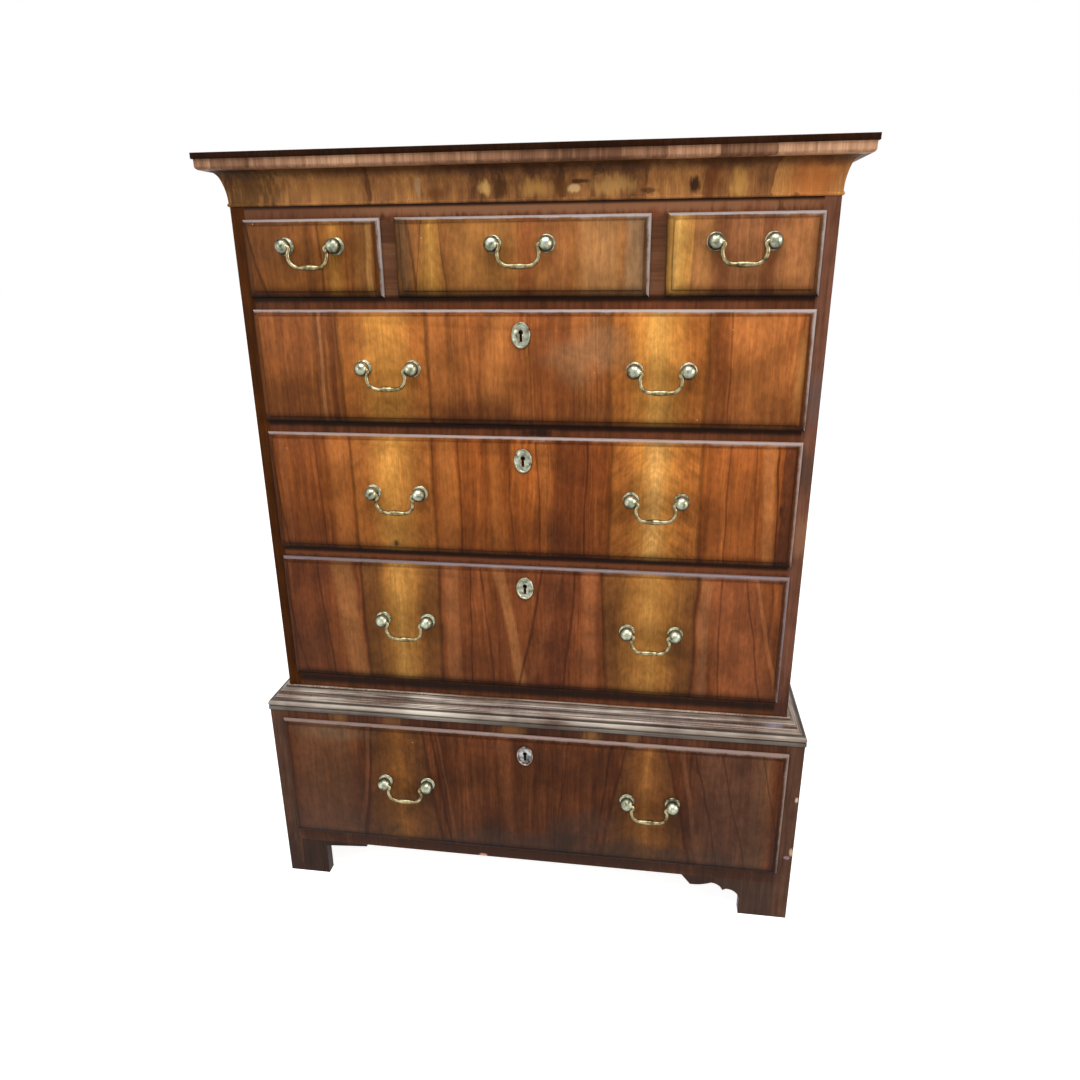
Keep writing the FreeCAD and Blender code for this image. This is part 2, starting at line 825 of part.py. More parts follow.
chest_rear = back_y - dim.back_thick - dim.rear_gap
stand_rear = back_y - dim.stand_back - dim.rear_gap
chest_span = (-half_inside, half_inside)
single = [("", zero)]
short_z = (short_floor, short_ceiling)
short_openings = {
    "short_left": (-half_inside, -muntin_out),
    "short_middle": (-muntin_in, muntin_in),
    "short_right": (muntin_out, half_inside),
}
for short_name, opening in short_openings.items():
    drawer(short_name, opening, short_z, face_y, chest_rear, single, dim.short_rise, False)
long_drawers = {
    "upper": ((upper_floor, upper_ceiling), dim.upper_rise),
    "middle": ((middle_floor, middle_ceiling), dim.middle_rise),
    "lower": ((lower_floor, lower_ceiling), dim.lower_rise),
}
mortises = {}
for long_name, (opening, lift) in long_drawers.items():
    mortises[long_name] = drawer(
        long_name, chest_span, opening, face_y, chest_rear, pair(dim.handle_spread), lift, True
    )
stand_span = (-half_stand_inside, half_stand_inside)
mortises["stand"] = drawer(
    "stand",
    stand_span,
    (skirt_top, stand_ceiling),
    stand_y,
    stand_rear,
    pair(dim.stand_spread),
    dim.stand_rise,
    True,
)


# Chest case
rail_back = face_y + dim.rail_depth
inside_back = back_y - dim.back_thick
housed = (-half_inside - dim.housing, half_inside + dim.housing)
top_z = chest_z - dim.chest_top
plinth = facing_rail("chest_plinth", (case_top, lower_floor))
frieze = facing_rail("chest_frieze", (short_ceiling, top_z))
shelves = {"lower": lower_ceiling, "middle": middle_ceiling, "upper": upper_ceiling}
rails = []
dustboards = []
for shelf, level in shelves.items():
    shelf_top = level + dim.rail_height
    solid_rail = deep_rail(f"{shelf}_rail", half_inside, face_y, (level, shelf_top))
    rails.append(cut(f"{shelf}_rail_cut", solid_rail, mortises[shelf]))
    depth = (rail_back, inside_back)
    dustboards.append(board(f"{shelf}_dustboard", housed, depth, (shelf_top - dim.dust_thick, shelf_top)))
front_rails = keep("chest_front_rails", group("chest_rail_set", [plinth, *rails, frieze]))
muntin_spans = [(-muntin_out, -muntin_in), (muntin_in, muntin_out)]
muntins = []
for number, span in enumerate(muntin_spans):
    muntins.append(board(f"muntin_{number}", span, (face_y, rail_back), short_z))
    guide_z = (short_floor, short_floor + dim.guide_height)
    dustboards.append(board(f"guide_{number}", span, (rail_back, inside_back), guide_z))
keep("short_drawer_muntins", group("muntin_set", muntins))
shelf_boards = keep("chest_dustboards_and_guides", group("dustboard_set", dustboards))
floor_y = (face_y + dim.facing_depth, inside_back)
floor_z = (lower_floor - dim.chest_bottom, lower_floor)
floor = keep("chest_bottom_board", board("chest_floor", housed, floor_y, floor_z))
roof = keep("chest_top_board", board("chest_roof", housed, (face_y, inside_back), (top_z, chest_z)))
back_step = (chest_z - case_top) / BACK_BOARDS
backs = []
for number in range(BACK_BOARDS):
    low = case_top + back_step * number
    high = low + back_step - (dim.back_gap if number < BACK_BOARDS - 1 else zero)
    backs.append(board(f"back_board_{number}", housed, (inside_back, back_y), (low, high)))
back_boards = keep("chest_back_boards", group("back_board_set", backs))
let_in = (front_rails, shelf_boards, floor, roof, back_boards)
for hand, span in (("left", (-half_chest, -half_inside)), ("right", (half_inside, half_chest))):
    blank = board(f"chest_side_{hand}_blank", span, (face_y, back_y), (case_top, chest_z))
    keep(f"chest_side_{hand}", cut(f"chest_side_{hand}_housed", blank, *let_in))


# Stand case
def wing(start, top):
    """Corners of a bracket's shaped edge, from the foot's inner floor corner up to the skirt."""
    ovolo = start + dim.ovolo_run
    ovolo_top = dim.ovolo_start + dim.ovolo_rise
    cusp = ovolo + dim.cusp_run
    cusp_z = ovolo_top - dim.cusp_drop
    cove = cusp + dim.cove_run
    cove_z = cusp_z + dim.cove_rise
    lobe = cove + dim.lobe_run
    return [
        (start, zero),
        (start, dim.ovolo_start),
        (ovolo, ovolo_top, -dim.ovolo_radius),
        (cusp, cusp_z),
        (cove, cove_z, -dim.cove_radius),
        (lobe, cove_z - dim.lobe_drop, dim.lobe_radius),
        (lobe + dim.tip_run, top),
    ]


def mirror(corners, length):
    """The same shaped edge read backwards from the other end of a board."""
    flipped = []
    arc = None
    for corner in reversed(corners):
        spot = (length - corner[0], corner[1])
        flipped.append(spot if arc is None else (*spot, arc))
        arc = corner[2] if len(corner) == 3 else None
    return flipped


def stand_side(name, x):
    body = new_body(name)
    length = dim.chest_depth + dim.stand_proud
    edge = wing(dim.foot_width, dim.foot_height)
    corners = [(zero, zero), *edge, *mirror(edge, length), (length, zero), (length, case_top)]
    corners.append((zero, case_top))
    pad(body, outline(body, "YZ_Plane", corners), dim.stand_side)
    return place(body, x, stand_y, zero)


def bracket(name, corners, thick):
    body = new_body(name)
    pad(body, outline(body, "XZ_Plane", corners), thick)
    return body


stand_housed = (-half_stand_inside - dim.housing, half_stand_inside + dim.housing)
stand_rail_back = stand_y + dim.rail_depth
stand_inside_back = back_y - dim.stand_back
skirt = deep_rail("stand_skirt", half_stand_inside, stand_y, (dim.foot_height, skirt_top))
head = deep_rail("stand_head", half_stand_inside, stand_y, (stand_ceiling, case_top))
stand_rails = keep(
    "stand_front_rails", group("stand_rail_set", [skirt, cut("stand_head_cut", head, mortises["stand"])])
)
top_depth = (stand_rail_back, back_y)
stand_lid = keep(
    "stand_top_board", board("stand_lid", stand_housed, top_depth, (case_top - dim.stand_top, case_top))
)
back_z = (dim.foot_height, case_top - dim.stand_top)
stand_panel = keep(
    "stand_back_board", board("stand_panel", stand_housed, (stand_inside_back, back_y), back_z)
)
for hand, edge_x in (("left", -half_stand), ("right", half_stand_inside)):
    blank = stand_side(f"stand_side_{hand}_blank", edge_x)
    keep(f"stand_side_{hand}", cut(f"stand_side_{hand}_housed", blank, stand_rails, stand_lid, stand_panel))

runner_z = (skirt_top - dim.runner_height, skirt_top)
runner_y = (stand_rail_back, stand_inside_back)
runner_in = half_stand_inside - dim.runner_width
runners = [
    board("runner_left", (-half_stand_inside, -runner_in), runner_y, runner_z),
    board("runner_right", (runner_in, half_stand_inside), runner_y, runner_z),
]
keep("stand_drawer_runners", group("runner_set", runners))

# The left front foot has lost its shaped wing and keeps a strip of it under the skirt
stub = [
    (dim.stand_side, zero),
    (dim.stub_foot, zero),
    (dim.stub_foot, dim.foot_height - dim.stub_drop),
    (dim.stub_foot + dim.stub_run, dim.foot_height - dim.stub_end),
    (dim.stub_foot + dim.stub_run, dim.foot_height),
    (dim.stand_side, dim.foot_height),
]
left_foot = bracket("foot_left_board", stub, dim.bracket_thick)
place(left_foot, -half_stand, stand_y + dim.bracket_thick, zero)
keep("front_foot_left", left_foot)
shaped = [(dim.stand_side, zero), *wing(dim.foot_width, dim.foot_height), (dim.stand_side, dim.foot_height)]
right_foot = bracket("foot_right_board", shaped, dim.bracket_thick)
place(right_foot, half_stand, stand_y, zero, (0, 0, 1), HALF_TURN)
keep("front_foot_right", right_foot)

plain = [
    (dim.stand_side, zero),
    (dim.rear_foot, zero),
    (dim.rear_foot, dim.rear_start),
    (dim.rear_foot + dim.rear_run, dim.foot_height, -dim.rear_radius),
    (dim.stand_side, dim.foot_height),
]
rear_left = place(bracket("rear_foot_left", plain, dim.bracket_thick), -half_stand, back_y, zero)
rear_right = bracket("rear_foot_right", plain, dim.bracket_thick)
place(rear_right, half_stand, back_y - dim.bracket_thick, zero, (0, 0, 1), HALF_TURN)
block_in = half_stand_inside - dim.block_width
block_z = (dim.block_lift, dim.foot_height)
blocks = []
for hand, span in (("left", (-half_stand_inside, -block_in)), ("right", (block_in, half_stand_inside))):
    near = stand_y + dim.bracket_thick
    blocks.append(board(f"block_{hand}_front", span, (near, near + dim.block_width), block_z))
    away = back_y - dim.bracket_thick
    blocks.append(board(f"block_{hand}_rear", span, (away - dim.block_width, away), block_z))
keep("rear_feet_and_blocks", group("foot_block_set", [rear_left, rear_right, *blocks]))

# Check every object, then write each sub-part
doc.recompute()
for item in doc.Objects:
    if "Invalid" in item.State or "Error" in item.State:
        raise RuntimeError(f"{item.Name} failed: {item.State}")
shapes = {node: Part.getShape(item) for node, item in nodes.items()}
for node, shape in shapes.items():
    if shape.isNull() or not shape.isValid() or not shape.Solids:
        raise RuntimeError(f"{node} has no valid shape")
os.makedirs("parts", exist_ok=True)
for node, shape in shapes.items():
    shape.exportStep(f"parts/{node}.step")
print(f"{len(shapes)} sub-parts written")
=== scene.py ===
import logging
import math
from collections.abc import Callable, Iterator, Sequence
from contextlib import contextmanager
from dataclasses import dataclass, field
from enum import Enum
from typing import Any

import bmesh
import bpy
from mathutils import Matrix, Vector


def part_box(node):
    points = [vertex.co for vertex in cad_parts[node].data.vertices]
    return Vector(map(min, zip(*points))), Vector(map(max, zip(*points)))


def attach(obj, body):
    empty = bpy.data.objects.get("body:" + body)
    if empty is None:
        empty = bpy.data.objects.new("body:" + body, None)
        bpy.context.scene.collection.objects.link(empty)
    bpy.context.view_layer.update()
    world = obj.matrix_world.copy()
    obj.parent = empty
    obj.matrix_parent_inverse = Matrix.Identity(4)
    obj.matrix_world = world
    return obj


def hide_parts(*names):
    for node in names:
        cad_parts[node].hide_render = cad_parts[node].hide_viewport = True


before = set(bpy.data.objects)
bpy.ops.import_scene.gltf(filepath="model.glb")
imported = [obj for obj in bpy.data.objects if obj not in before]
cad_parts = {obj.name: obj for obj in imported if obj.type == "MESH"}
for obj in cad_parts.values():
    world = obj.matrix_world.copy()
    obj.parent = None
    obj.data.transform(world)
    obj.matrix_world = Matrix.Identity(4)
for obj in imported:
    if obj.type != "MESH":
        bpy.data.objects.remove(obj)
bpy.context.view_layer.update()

log = logging.getLogger("chest_on_stand")
MM = 0.001
ACROSS, INWARDS, UP = Vector((1, 0, 0)), Vector((0, 1, 0)), Vector((0, 0, 1))
# The least part of a normal that counts as facing squarely one way
SQUARELY = 0.99
Point = tuple[float, float]
Place = tuple[float, float, float]
Socket = bpy.types.NodeSocket
Stops = Sequence[tuple[float, str]]


class Grain(Enum):
    """The axis that the grain of a board or veneer runs along."""

    X = 0
    Y = 1
    Z = 2


class Part(Enum):
    """The parts of a mesh that can be picked in edit mode."""

    FACE = "faces"
    EDGE = "edges"


class Berth(Enum):
    """The places of the seven drawers, as the CAD names them."""

    SHORT_LEFT = "short_left"
    SHORT_MIDDLE = "short_middle"
    SHORT_RIGHT = "short_right"
    UPPER = "upper"
    MIDDLE = "middle"
    LOWER = "lower"
    STAND = "stand"

    @property
    def keyed(self) -> bool:
        """Whether the drawer there has a lock."""
        return not self.value.startswith("short")


def linear(colour: str) -> tuple[float, float, float, float]:
    """Turn an sRGB hex value to a linear colour.

    Args:
        colour: six hex digits after a hash sign.

    Returns:
        Linear red, green, blue and a full alpha.
    """
    parts = [int(colour[start:start + 2], 16) / 255 for start in (1, 3, 5)]
    flat = [part / 12.92 if part <= 0.04045 else ((part + 0.055) / 1.055) ** 2.4 for part in parts]
    return (flat[0], flat[1], flat[2], 1.0)


@dataclass
class Graph:
    """The node tree of one material or of the world."""

    tree: bpy.types.NodeTree

    @classmethod
    def bare(cls, owner: bpy.types.Material | bpy.types.World) -> "Graph":
        """Clear the nodes of a material or of the world.

        Args:
            owner: what the nodes belong to.

        Returns:
            Its empty graph.
        """
        owner.use_nodes = True
        owner.node_tree.nodes.clear()
        return cls(owner.node_tree)

    def add(
        self, kind: str, inputs: dict | None = None, out: int | str = 0, stops: Stops = (), **settings: Any
    ) -> Socket | None:
        """Add one node with its settings and links.

        Args:
            kind: the node's type name after ShaderNode.
            inputs: a value, or a socket to link, for each input by name or number.
            out: the output that is wanted, by name or number.
            stops: the places and hex colours of a colour ramp, in order.
            settings: the node's own properties.

        Returns:
            The wanted output's socket.
        """
        node = self.tree.nodes.new("ShaderNode" + kind)
        for key, value in settings.items():
            setattr(node, key, value)
        for key, value in (inputs or {}).items():
            if isinstance(value, Socket):
                self.tree.links.new(value, node.inputs[key])
            else:
                node.inputs[key].default_value = value
        if stops:
            ramp = node.color_ramp.elements
            for element, (spot, colour) in zip((ramp[0], ramp[1]), (stops[0], stops[-1])):
                element.position, element.color = spot, linear(colour)
            for spot, colour in stops[1:-1]:
                ramp.new(spot).color = linear(colour)
        return node.outputs[out] if node.outputs else None

    def fibres(self, place: Socket, grain: Grain, width: float, length: float, detail: float = 3.0) -> Socket:
        """Noise drawn out along the grain.

        Args:
            place: the coordinates.
            grain: the axis the fibres run along.
            width: how wide a streak is, in millimetres.
            length: how long it is, in millimetres.
            detail: how many finer layers the noise has.

        Returns:
            Values about one half.
        """
        scale = [1 / (width * MM)] * 3
        scale[grain.value] = 1 / (length * MM)
        drawn = self.add("Mapping", {"Vector": place, "Scale": scale})
        return self.add("TexNoise", {"Vector": drawn, "Scale": 1.0, "Detail": detail, "Roughness": 0.6})

    def spread(
        self, colour: Any, value: Socket, low: float, high: float, dark: float, bright: float
    ) -> Socket:
        """Darken and brighten a colour by a pattern.

        Args:
            colour: the colour.
            value: the pattern.
            low: the pattern's value where the colour is darkest.
            high: the pattern's value where it is brightest.
            dark: what the colour is multiplied by at the low value.
            bright: what it is multiplied by at the high value.

        Returns:
            The changed colour.
        """
        inputs = {0: value, 1: low, 2: high, 3: dark, 4: bright}
        share = self.add("MapRange", inputs, interpolation_type="SMOOTHSTEP")
        return self.add("VectorMath", {0: colour, "Scale": share}, operation="SCALE")

    def lay(self, under: Socket, over: Any, value: Socket, full: float, gone: float, depth: float) -> Socket:
        """Lay one colour over another where a pattern is near one of its values.

        Args:
            under: the colour below.
            over: the colour laid over it.
            value: the pattern.
            full: the pattern's value where the upper colour is strongest.
            gone: the pattern's value where it is gone.
            depth: how strong it is at most.

        Returns:
            The mixed colour.
        """
        inputs = {0: value, 1: full, 2: gone, 3: depth, 4: 0.0}
        share = self.add("MapRange", inputs, interpolation_type="SMOOTHSTEP")
        return self.add("Mix", {0: share, 6: under, 7: over}, out=2, data_type="RGBA")


@dataclass(frozen=True)
class Finish:
    """What a surface is made of."""

    name: str

    def sockets(self, graph: Graph) -> dict[str, Any]:
        """The values and patterns that go to the shader's sockets."""
        raise NotImplementedError

    def material(self) -> bpy.types.Material:
        """Build the material.

        Returns:
            A new material with this finish on a Principled shader.
        """
        material = bpy.data.materials.new(self.name)
        graph = Graph.bare(material)
        surface = graph.add("BsdfPrincipled", self.sockets(graph))
        graph.add("OutputMaterial", {"Surface": surface})
        return material


@dataclass(frozen=True)
class Band:
    """A gold heart band between two dark lines, with sizes in metres and the feathers' size in millimetres.

    The flare is what its half width gains for each metre up; the gleam is how strong the feathers are.
    """

    at: float
    half: float
    flare: float = 0.0
    bright: str = "#cf9143"
    gold: str = "#be7c37"
    amber: str = "#a3602a"
    edge: str = "#55300f"
    gleam: float = 0.1
    feather: float = 15.0

    def lay(self, graph: Graph, under: Socket, run: Socket, rise: Socket, broad: Socket) -> Socket:
        """Lay the band, with its feathered figure and its dark lines, over the ground.

        Args:
            graph: the material's nodes.
            under: the colour below.
            run: the swayed place across the front.
            rise: the height above the middle of the front.
            broad: broad streaks that shift the band's tones.

        Returns:
            The mixed colour.
        """
        gap = graph.add("Math", {0: run, 1: self.at}, operation="SUBTRACT")
        away = graph.add("Math", {0: gap}, operation="ABSOLUTE")
        reach = graph.add("Math", {0: rise, 1: self.flare, 2: self.half}, operation="MULTIPLY_ADD")
        share = graph.add("Math", {0: away, 1: reach}, operation="DIVIDE")
        shaken = graph.add("Math", {0: broad, 1: 0.5, 2: share}, operation="MULTIPLY_ADD")
        spot = graph.add("Math", {0: shaken, 1: 0.66}, operation="MULTIPLY")
        stops = [(0.12, self.bright), (0.36, self.gold), (0.62, self.amber), (0.8, self.amber)]
        figure = graph.add("ValToRGB", {0: spot}, stops=[*stops, (0.87, self.edge)])
        # The feathers fall away from the heart to both sides
        fall = graph.add("Math", {0: away, 1: 0.8, 2: rise}, operation="MULTIPLY_ADD")
        aside = graph.add("Math", {0: away, 1: 0.35}, operation="MULTIPLY")
        slant = graph.add("CombineXYZ", {0: aside, 2: fall})
        inputs = {"Vector": slant, "Scale": 1 / (self.feather * MM), "Detail": 3.0, "Roughness": 0.6}
        feather = graph.add("TexNoise", inputs)
        figure = graph.spread(figure, feather, 0.32, 0.68, 1 - self.gleam, 1 + self.gleam)
        lined = graph.lay(under, linear(self.edge), share, 1.0, 1.08, 0.6)
        return graph.lay(lined, figure, share, 0.9, 1.02, 1.0)


@dataclass(frozen=True)
class Strip:
    """A lighter or darker streak, with sizes in metres; its lean is the sideways move for each metre up."""

    at: float
    half: float
    colour: str
    depth: float = 0.7
    lean: float = 0.0

    def lay(self, graph: Graph, under: Socket, run: Socket, rise: Socket, fine: Socket) -> Socket:
        """Lay the streak over the ground.

        Args:
            graph: the material's nodes.
            under: the colour below.
            run: the swayed place across the front.
            rise: the height above the middle of the front.
            fine: fine streaks that fray its edges.

        Returns:
            The mixed colour.
        """
        spine = graph.add("Math", {0: rise, 1: self.lean, 2: self.at}, operation="MULTIPLY_ADD")
        gap = graph.add("Math", {0: run, 1: spine}, operation="SUBTRACT")
        away = graph.add("Math", {0: gap}, operation="ABSOLUTE")
        share = graph.add("Math", {0: away, 1: self.half}, operation="DIVIDE")
        frayed = graph.add("Math", {0: fine, 1: 0.7, 2: share}, operation="MULTIPLY_ADD")
        return graph.lay(under, linear(self.colour), frayed, 0.8, 1.5, self.depth)


@dataclass(frozen=True)
class Patch:
    """A soft-edged mark: its middle and half sizes in metres."""

    at: Place
    size: Place
    colour: str
    depth: float
    soft: float = 0.8
    ragged: float = 1.6

    def lay(self, graph: Graph, place: Socket, colour: Socket, rough: Socket) -> Socket:
        """Lay the mark over a colour.

        Args:
            graph: the material's nodes.
            place: the coordinates.
            colour: the colour below.
            rough: a pattern that makes the edge ragged.

        Returns:
            The mixed colour.
        """
        gap = graph.add("VectorMath", {0: place, 1: self.at}, operation="SUBTRACT")
        share = graph.add("VectorMath", {0: gap, 1: self.size}, operation="DIVIDE")
        far = graph.add("VectorMath", {0: share}, out="Value", operation="LENGTH")
        torn = graph.add("Math", {0: rough, 1: self.ragged, 2: far}, operation="MULTIPLY_ADD")
        edge = 1 + self.ragged / 2
        return graph.lay(colour, linear(self.colour), torn, edge - self.soft, edge, self.depth)


@dataclass(frozen=True)
class FiguredVeneer(Finish):
    """Book-matched walnut veneer, knife-cut, upright and waxed: the eye sees gold heart bands between dark
    lines, red-brown wood beside them, fine upright streaks and short dark pores; the lip is pale above and
    to the right, partly rubbed wear and partly a painted highlight of light from that side, and darker below
    and to the left, partly dirt and partly painted shade; the tone is scaled from foot to head as painted
    shade.

    The edges are in metres; the sway, the lip's width and the seam's place are in millimetres.
    """

    edges: tuple[float, float, float, float]
    bands: tuple[Band, ...]
    strips: tuple[Strip, ...] = ()
    patches: tuple[Patch, ...] = ()
    light: str = "#b0652b"
    ground: str = "#8f4c1f"
    deep: str = "#6a3316"
    # Painted shade: the tone at the foot and at the head of the front
    foot: float = 0.84
    head: float = 0.88
    # The pale of the rubbed lips, which is also a painted highlight
    wear_and_sheen: str = "#9c918c"
    seam: str = "#241108"
    bare_wood: str = "#d0ab80"
    sway: float = 22.0
    lip: float = 10.0
    seam_at: float = 10.6
    # The way the light and the rubbing hands come from: above and to the right
    light_and_hands: Place = (0.62, 0.0, 0.78)

    def sockets(self, graph: Graph) -> dict[str, Any]:
        """The values and patterns that go to the shader's sockets.

        Args:
            graph: the material's nodes.

        Returns:
            A value or a pattern for each socket.
        """
        place = graph.add("TexCoord", out="Object")
        split = graph.add("SeparateXYZ", {0: place}).node
        across, up = split.outputs[0], split.outputs[2]
        left, right, low, high = self.edges
        half = (high - low) / 2
        rise = graph.add("Math", {0: up, 1: (low + high) / 2}, operation="SUBTRACT")
        # Wood: upright streaks that sway a little, with strips, heart bands and marks over them
        wander = graph.fibres(place, Grain.Z, 60, 230, 2)
        inputs = {0: wander, 1: self.sway * MM, 2: -self.sway / 2 * MM}
        shift = graph.add("Math", inputs, operation="MULTIPLY_ADD")
        run = graph.add("Math", {0: across, 1: shift}, operation="ADD")
        swayed = graph.add("CombineXYZ", {0: run, 1: split.outputs[1], 2: up})
        fine = graph.fibres(swayed, Grain.Z, 3.2, 120, 3)
        ripple = graph.fibres(swayed, Grain.Z, 10, 210, 3)
        broad = graph.fibres(swayed, Grain.Z, 30, 420, 2)
        cloud = graph.add("TexNoise", {"Vector": place, "Scale": 1 / (75 * MM), "Detail": 3.0})
        mottle = graph.fibres(place, Grain.Z, 7, 15, 3)
        stops = [(0.2, self.deep), (0.5, self.ground), (0.8, self.light)]
        colour = graph.add("ValToRGB", {0: ripple}, stops=stops)
        colour = graph.spread(colour, broad, 0.3, 0.7, 0.76, 1.24)
        for strip in self.strips:
            colour = strip.lay(graph, colour, run, rise, fine)
        for band in self.bands:
            colour = band.lay(graph, colour, run, rise, broad)
        for patch in self.patches:
            colour = patch.lay(graph, place, colour, cloud)
        for pattern, dark, bright in ((fine, 0.88, 1.1), (cloud, 0.76, 1.24), (mottle, 0.86, 1.14)):
            colour = graph.spread(colour, pattern, 0.3, 0.7, dark, bright)
        # Pores are drawn four times as wide as in the wood, or they would not show
        pores = graph.fibres(place, Grain.Z, 1.3, 22, 1)
        colour = graph.spread(colour, pores, 0.6, 0.72, 1.0, 0.84)
        # Painted shade: the front's tone runs from its foot to its head
        colour = graph.spread(colour, rise, -half, half, self.foot, self.head)
        # Darker along the left, right and lower edges, partly dirt and partly painted shade; painted shade
        # at the foot under the lip and on what faces away from the light above and to the right
        gaps = ((across, left), (right, across), (up, low), (high, up))
        from_left, from_right, from_foot, from_head = (
            graph.add("Math", {0: more, 1: less}, operation="SUBTRACT") for more, less in gaps
        )
        beside = graph.add("Math", {0: from_left, 1: from_right}, operation="MINIMUM")
        rim = graph.add("Math", {0: beside, 1: from_foot}, operation="MINIMUM")
        grime_and_shade = graph.add("Math", {0: cloud, 1: -30 * MM, 2: rim}, operation="MULTIPLY_ADD")
        colour = graph.spread(colour, grime_and_shade, -12 * MM, 8 * MM, 0.6, 1.0)
        # Painted shade along the foot of the front, under the lip
        colour = graph.spread(colour, from_foot, 3 * MM, 22 * MM, 0.36, 1.0)
        facing = graph.add("NewGeometry", out="Normal")
        turn = graph.add("VectorMath", {0: facing, 1: self.light_and_hands}, out="Value", operation="DOT_PRODUCT")
        # Painted shade on faces turned away from the light
        colour = graph.spread(colour, turn, -0.7, -0.1, 0.2, 1.0)
        # Wear and painted highlight: the upper and right lips are dark, and pale where they face up and to
        # the right, partly rubbed bare and partly a painted highlight of the light from there
        near = graph.add("Math", {0: from_head, 1: from_right}, operation="MINIMUM")
        inputs = {0: near, 1: (self.lip - 0.4) * MM, 2: (self.lip + 0.4) * MM, 3: 1.0, 4: 0.0}
        lip = graph.add("MapRange", inputs)
        worn = graph.add("Math", {0: turn, 1: lip}, operation="MULTIPLY")
        inputs = {"Vector": place, "Scale": 1 / (26 * MM), "Detail": 5.0, "Roughness": 0.7}
        rub = graph.add("TexNoise", inputs)
        uneven = graph.add("Math", {0: rub, 1: lip}, operation="MULTIPLY")
        bare = graph.add("Math", {0: uneven, 1: 0.6, 2: worn}, operation="MULTIPLY_ADD")
        colour = graph.spread(colour, lip, 0.0, 1.0, 1.0, 0.66)
        colour = graph.lay(colour, linear(self.wear_and_sheen), bare, 0.76, 0.4, 0.85)
        # A dark seam runs round the field, and a few nicks show bare wood
        brink = graph.add("Math", {0: rim, 1: from_head}, operation="MINIMUM")
        off = graph.add("Math", {0: brink, 1: self.seam_at * MM}, operation="SUBTRACT")
        aside = graph.add("Math", {0: off}, operation="ABSOLUTE")
        colour = graph.lay(colour, linear(self.seam), aside, 0.4 * MM, 2 * MM, 0.3)
        nicks = graph.add("TexVoronoi", {"Vector": place, "Scale": 1 / (75 * MM)})
        colour = graph.lay(colour, linear(self.bare_wood), nicks, 0.010, 0.018, 0.7)
        shine = graph.add("MapRange", {0: cloud, 1: 0.25, 2: 0.75, 3: 0.3, 4: 0.48})
        grooves = graph.add("Math", {0: fine, 1: pores}, operation="SUBTRACT")
        bump = graph.add("Bump", {"Strength": 0.3, "Distance": 0.12 * MM, "Height": grooves})
        return {
            "Base Color": colour,
            "Roughness": shine,
            "Specular IOR Level": 0.05,
            "Coat Weight": graph.add("MapRange", {0: worn, 1: 0.1, 2: 0.5, 3: 0.02, 4: 0.3}),
            "Coat Roughness": 0.2,
            "Normal": bump,
        }


@dataclass(frozen=True)
class CrossBanding(Finish):
    """Walnut laid in short pieces across a rail or moulding, scraped and waxed: the eye sees streaks across
    the run and a change of tone at each joint.

    The joints and the figure are spaced in millimetres.
    """

    grain: Grain
    light: str
    mid: str
    dark: str
    joint: float = 110.0
    swing: float = 0.4
    streak: float = 0.12
    knots: float = 0.0
    figure: float = 7.0
    polish: float = 0.06
    patches: tuple[Patch, ...] = ()
    knot: str = "#1f110a"

    def sockets(self, graph: Graph) -> dict[str, Any]:
        """The values and patterns that go to the shader's sockets.

        Args:
            graph: the material's nodes.

        Returns:
            A value or a pattern for each socket.
        """
        place = graph.add("TexCoord", out="Object")
        split = graph.add("SeparateXYZ", {0: place}).node
        along = graph.add("Math", {0: split.outputs[0], 1: split.outputs[1]}, operation="ADD")
        if self.grain is Grain.X:
            along = split.outputs[2]
        cloud = graph.add("TexNoise", {"Vector": place, "Scale": 1 / (55 * MM), "Detail": 4.0})
        swayed = graph.add("Math", {0: cloud, 1: 20 * MM, 2: along}, operation="MULTIPLY_ADD")
        run = graph.add("Math", {0: swayed, 1: self.joint * MM}, operation="DIVIDE")
        cells = graph.add("TexVoronoi", {"W": run, "Scale": 1.0}, out="Color", voronoi_dimensions="1D")
        piece = graph.add("SeparateColor", {0: cells})
        ripple = graph.fibres(place, self.grain, self.figure, 120, 4)
        fine = graph.fibres(place, self.grain, 2.2, 70, 4)
        turned = graph.add("Math", {0: piece, 1: self.swing, 2: -self.swing / 2}, operation="MULTIPLY_ADD")
        mixed = graph.add("Math", {0: ripple, 1: 0.6, 2: turned}, operation="MULTIPLY_ADD")
        spot = graph.add("Math", {0: cloud, 1: 0.4, 2: mixed}, operation="MULTIPLY_ADD")
        stops = [(0.28, self.dark), (0.5, self.mid), (0.72, self.light)]
        colour = graph.add("ValToRGB", {0: spot}, stops=stops)
        colour = graph.spread(colour, fine, 0.3, 0.7, 1 - self.streak, 1 + self.streak)
        if self.knots:
            curls = graph.add("TexNoise", {"Vector": place, "Scale": 1 / (10 * MM), "Detail": 3.0})
            eyes = graph.add("TexVoronoi", {"Vector": place, "Scale": 1 / (80 * MM)})
            near = graph.add("Math", {0: curls, 1: 0.3, 2: eyes}, operation="MULTIPLY_ADD")
            colour = graph.lay(colour, linear(self.knot), near, 0.24, 0.33, self.knots)
        if self.patches:
            torn = graph.fibres(place, self.grain, 8, 32, 5)
            for patch in self.patches:
                colour = patch.lay(graph, place, colour, torn)
        shine = graph.add("MapRange", {0: cloud, 1: 0.25, 2: 0.75, 3: 0.3, 4: 0.5})
        bump = graph.add("Bump", {"Strength": 0.3, "Distance": 0.15 * MM, "Height": fine})
        return {
            "Base Color": colour,
            "Roughness": shine,
            "Specular IOR Level": self.polish,
            "Coat Weight": self.polish / 3,
            "Coat Roughness": 0.16,
            "Normal": bump,
        }


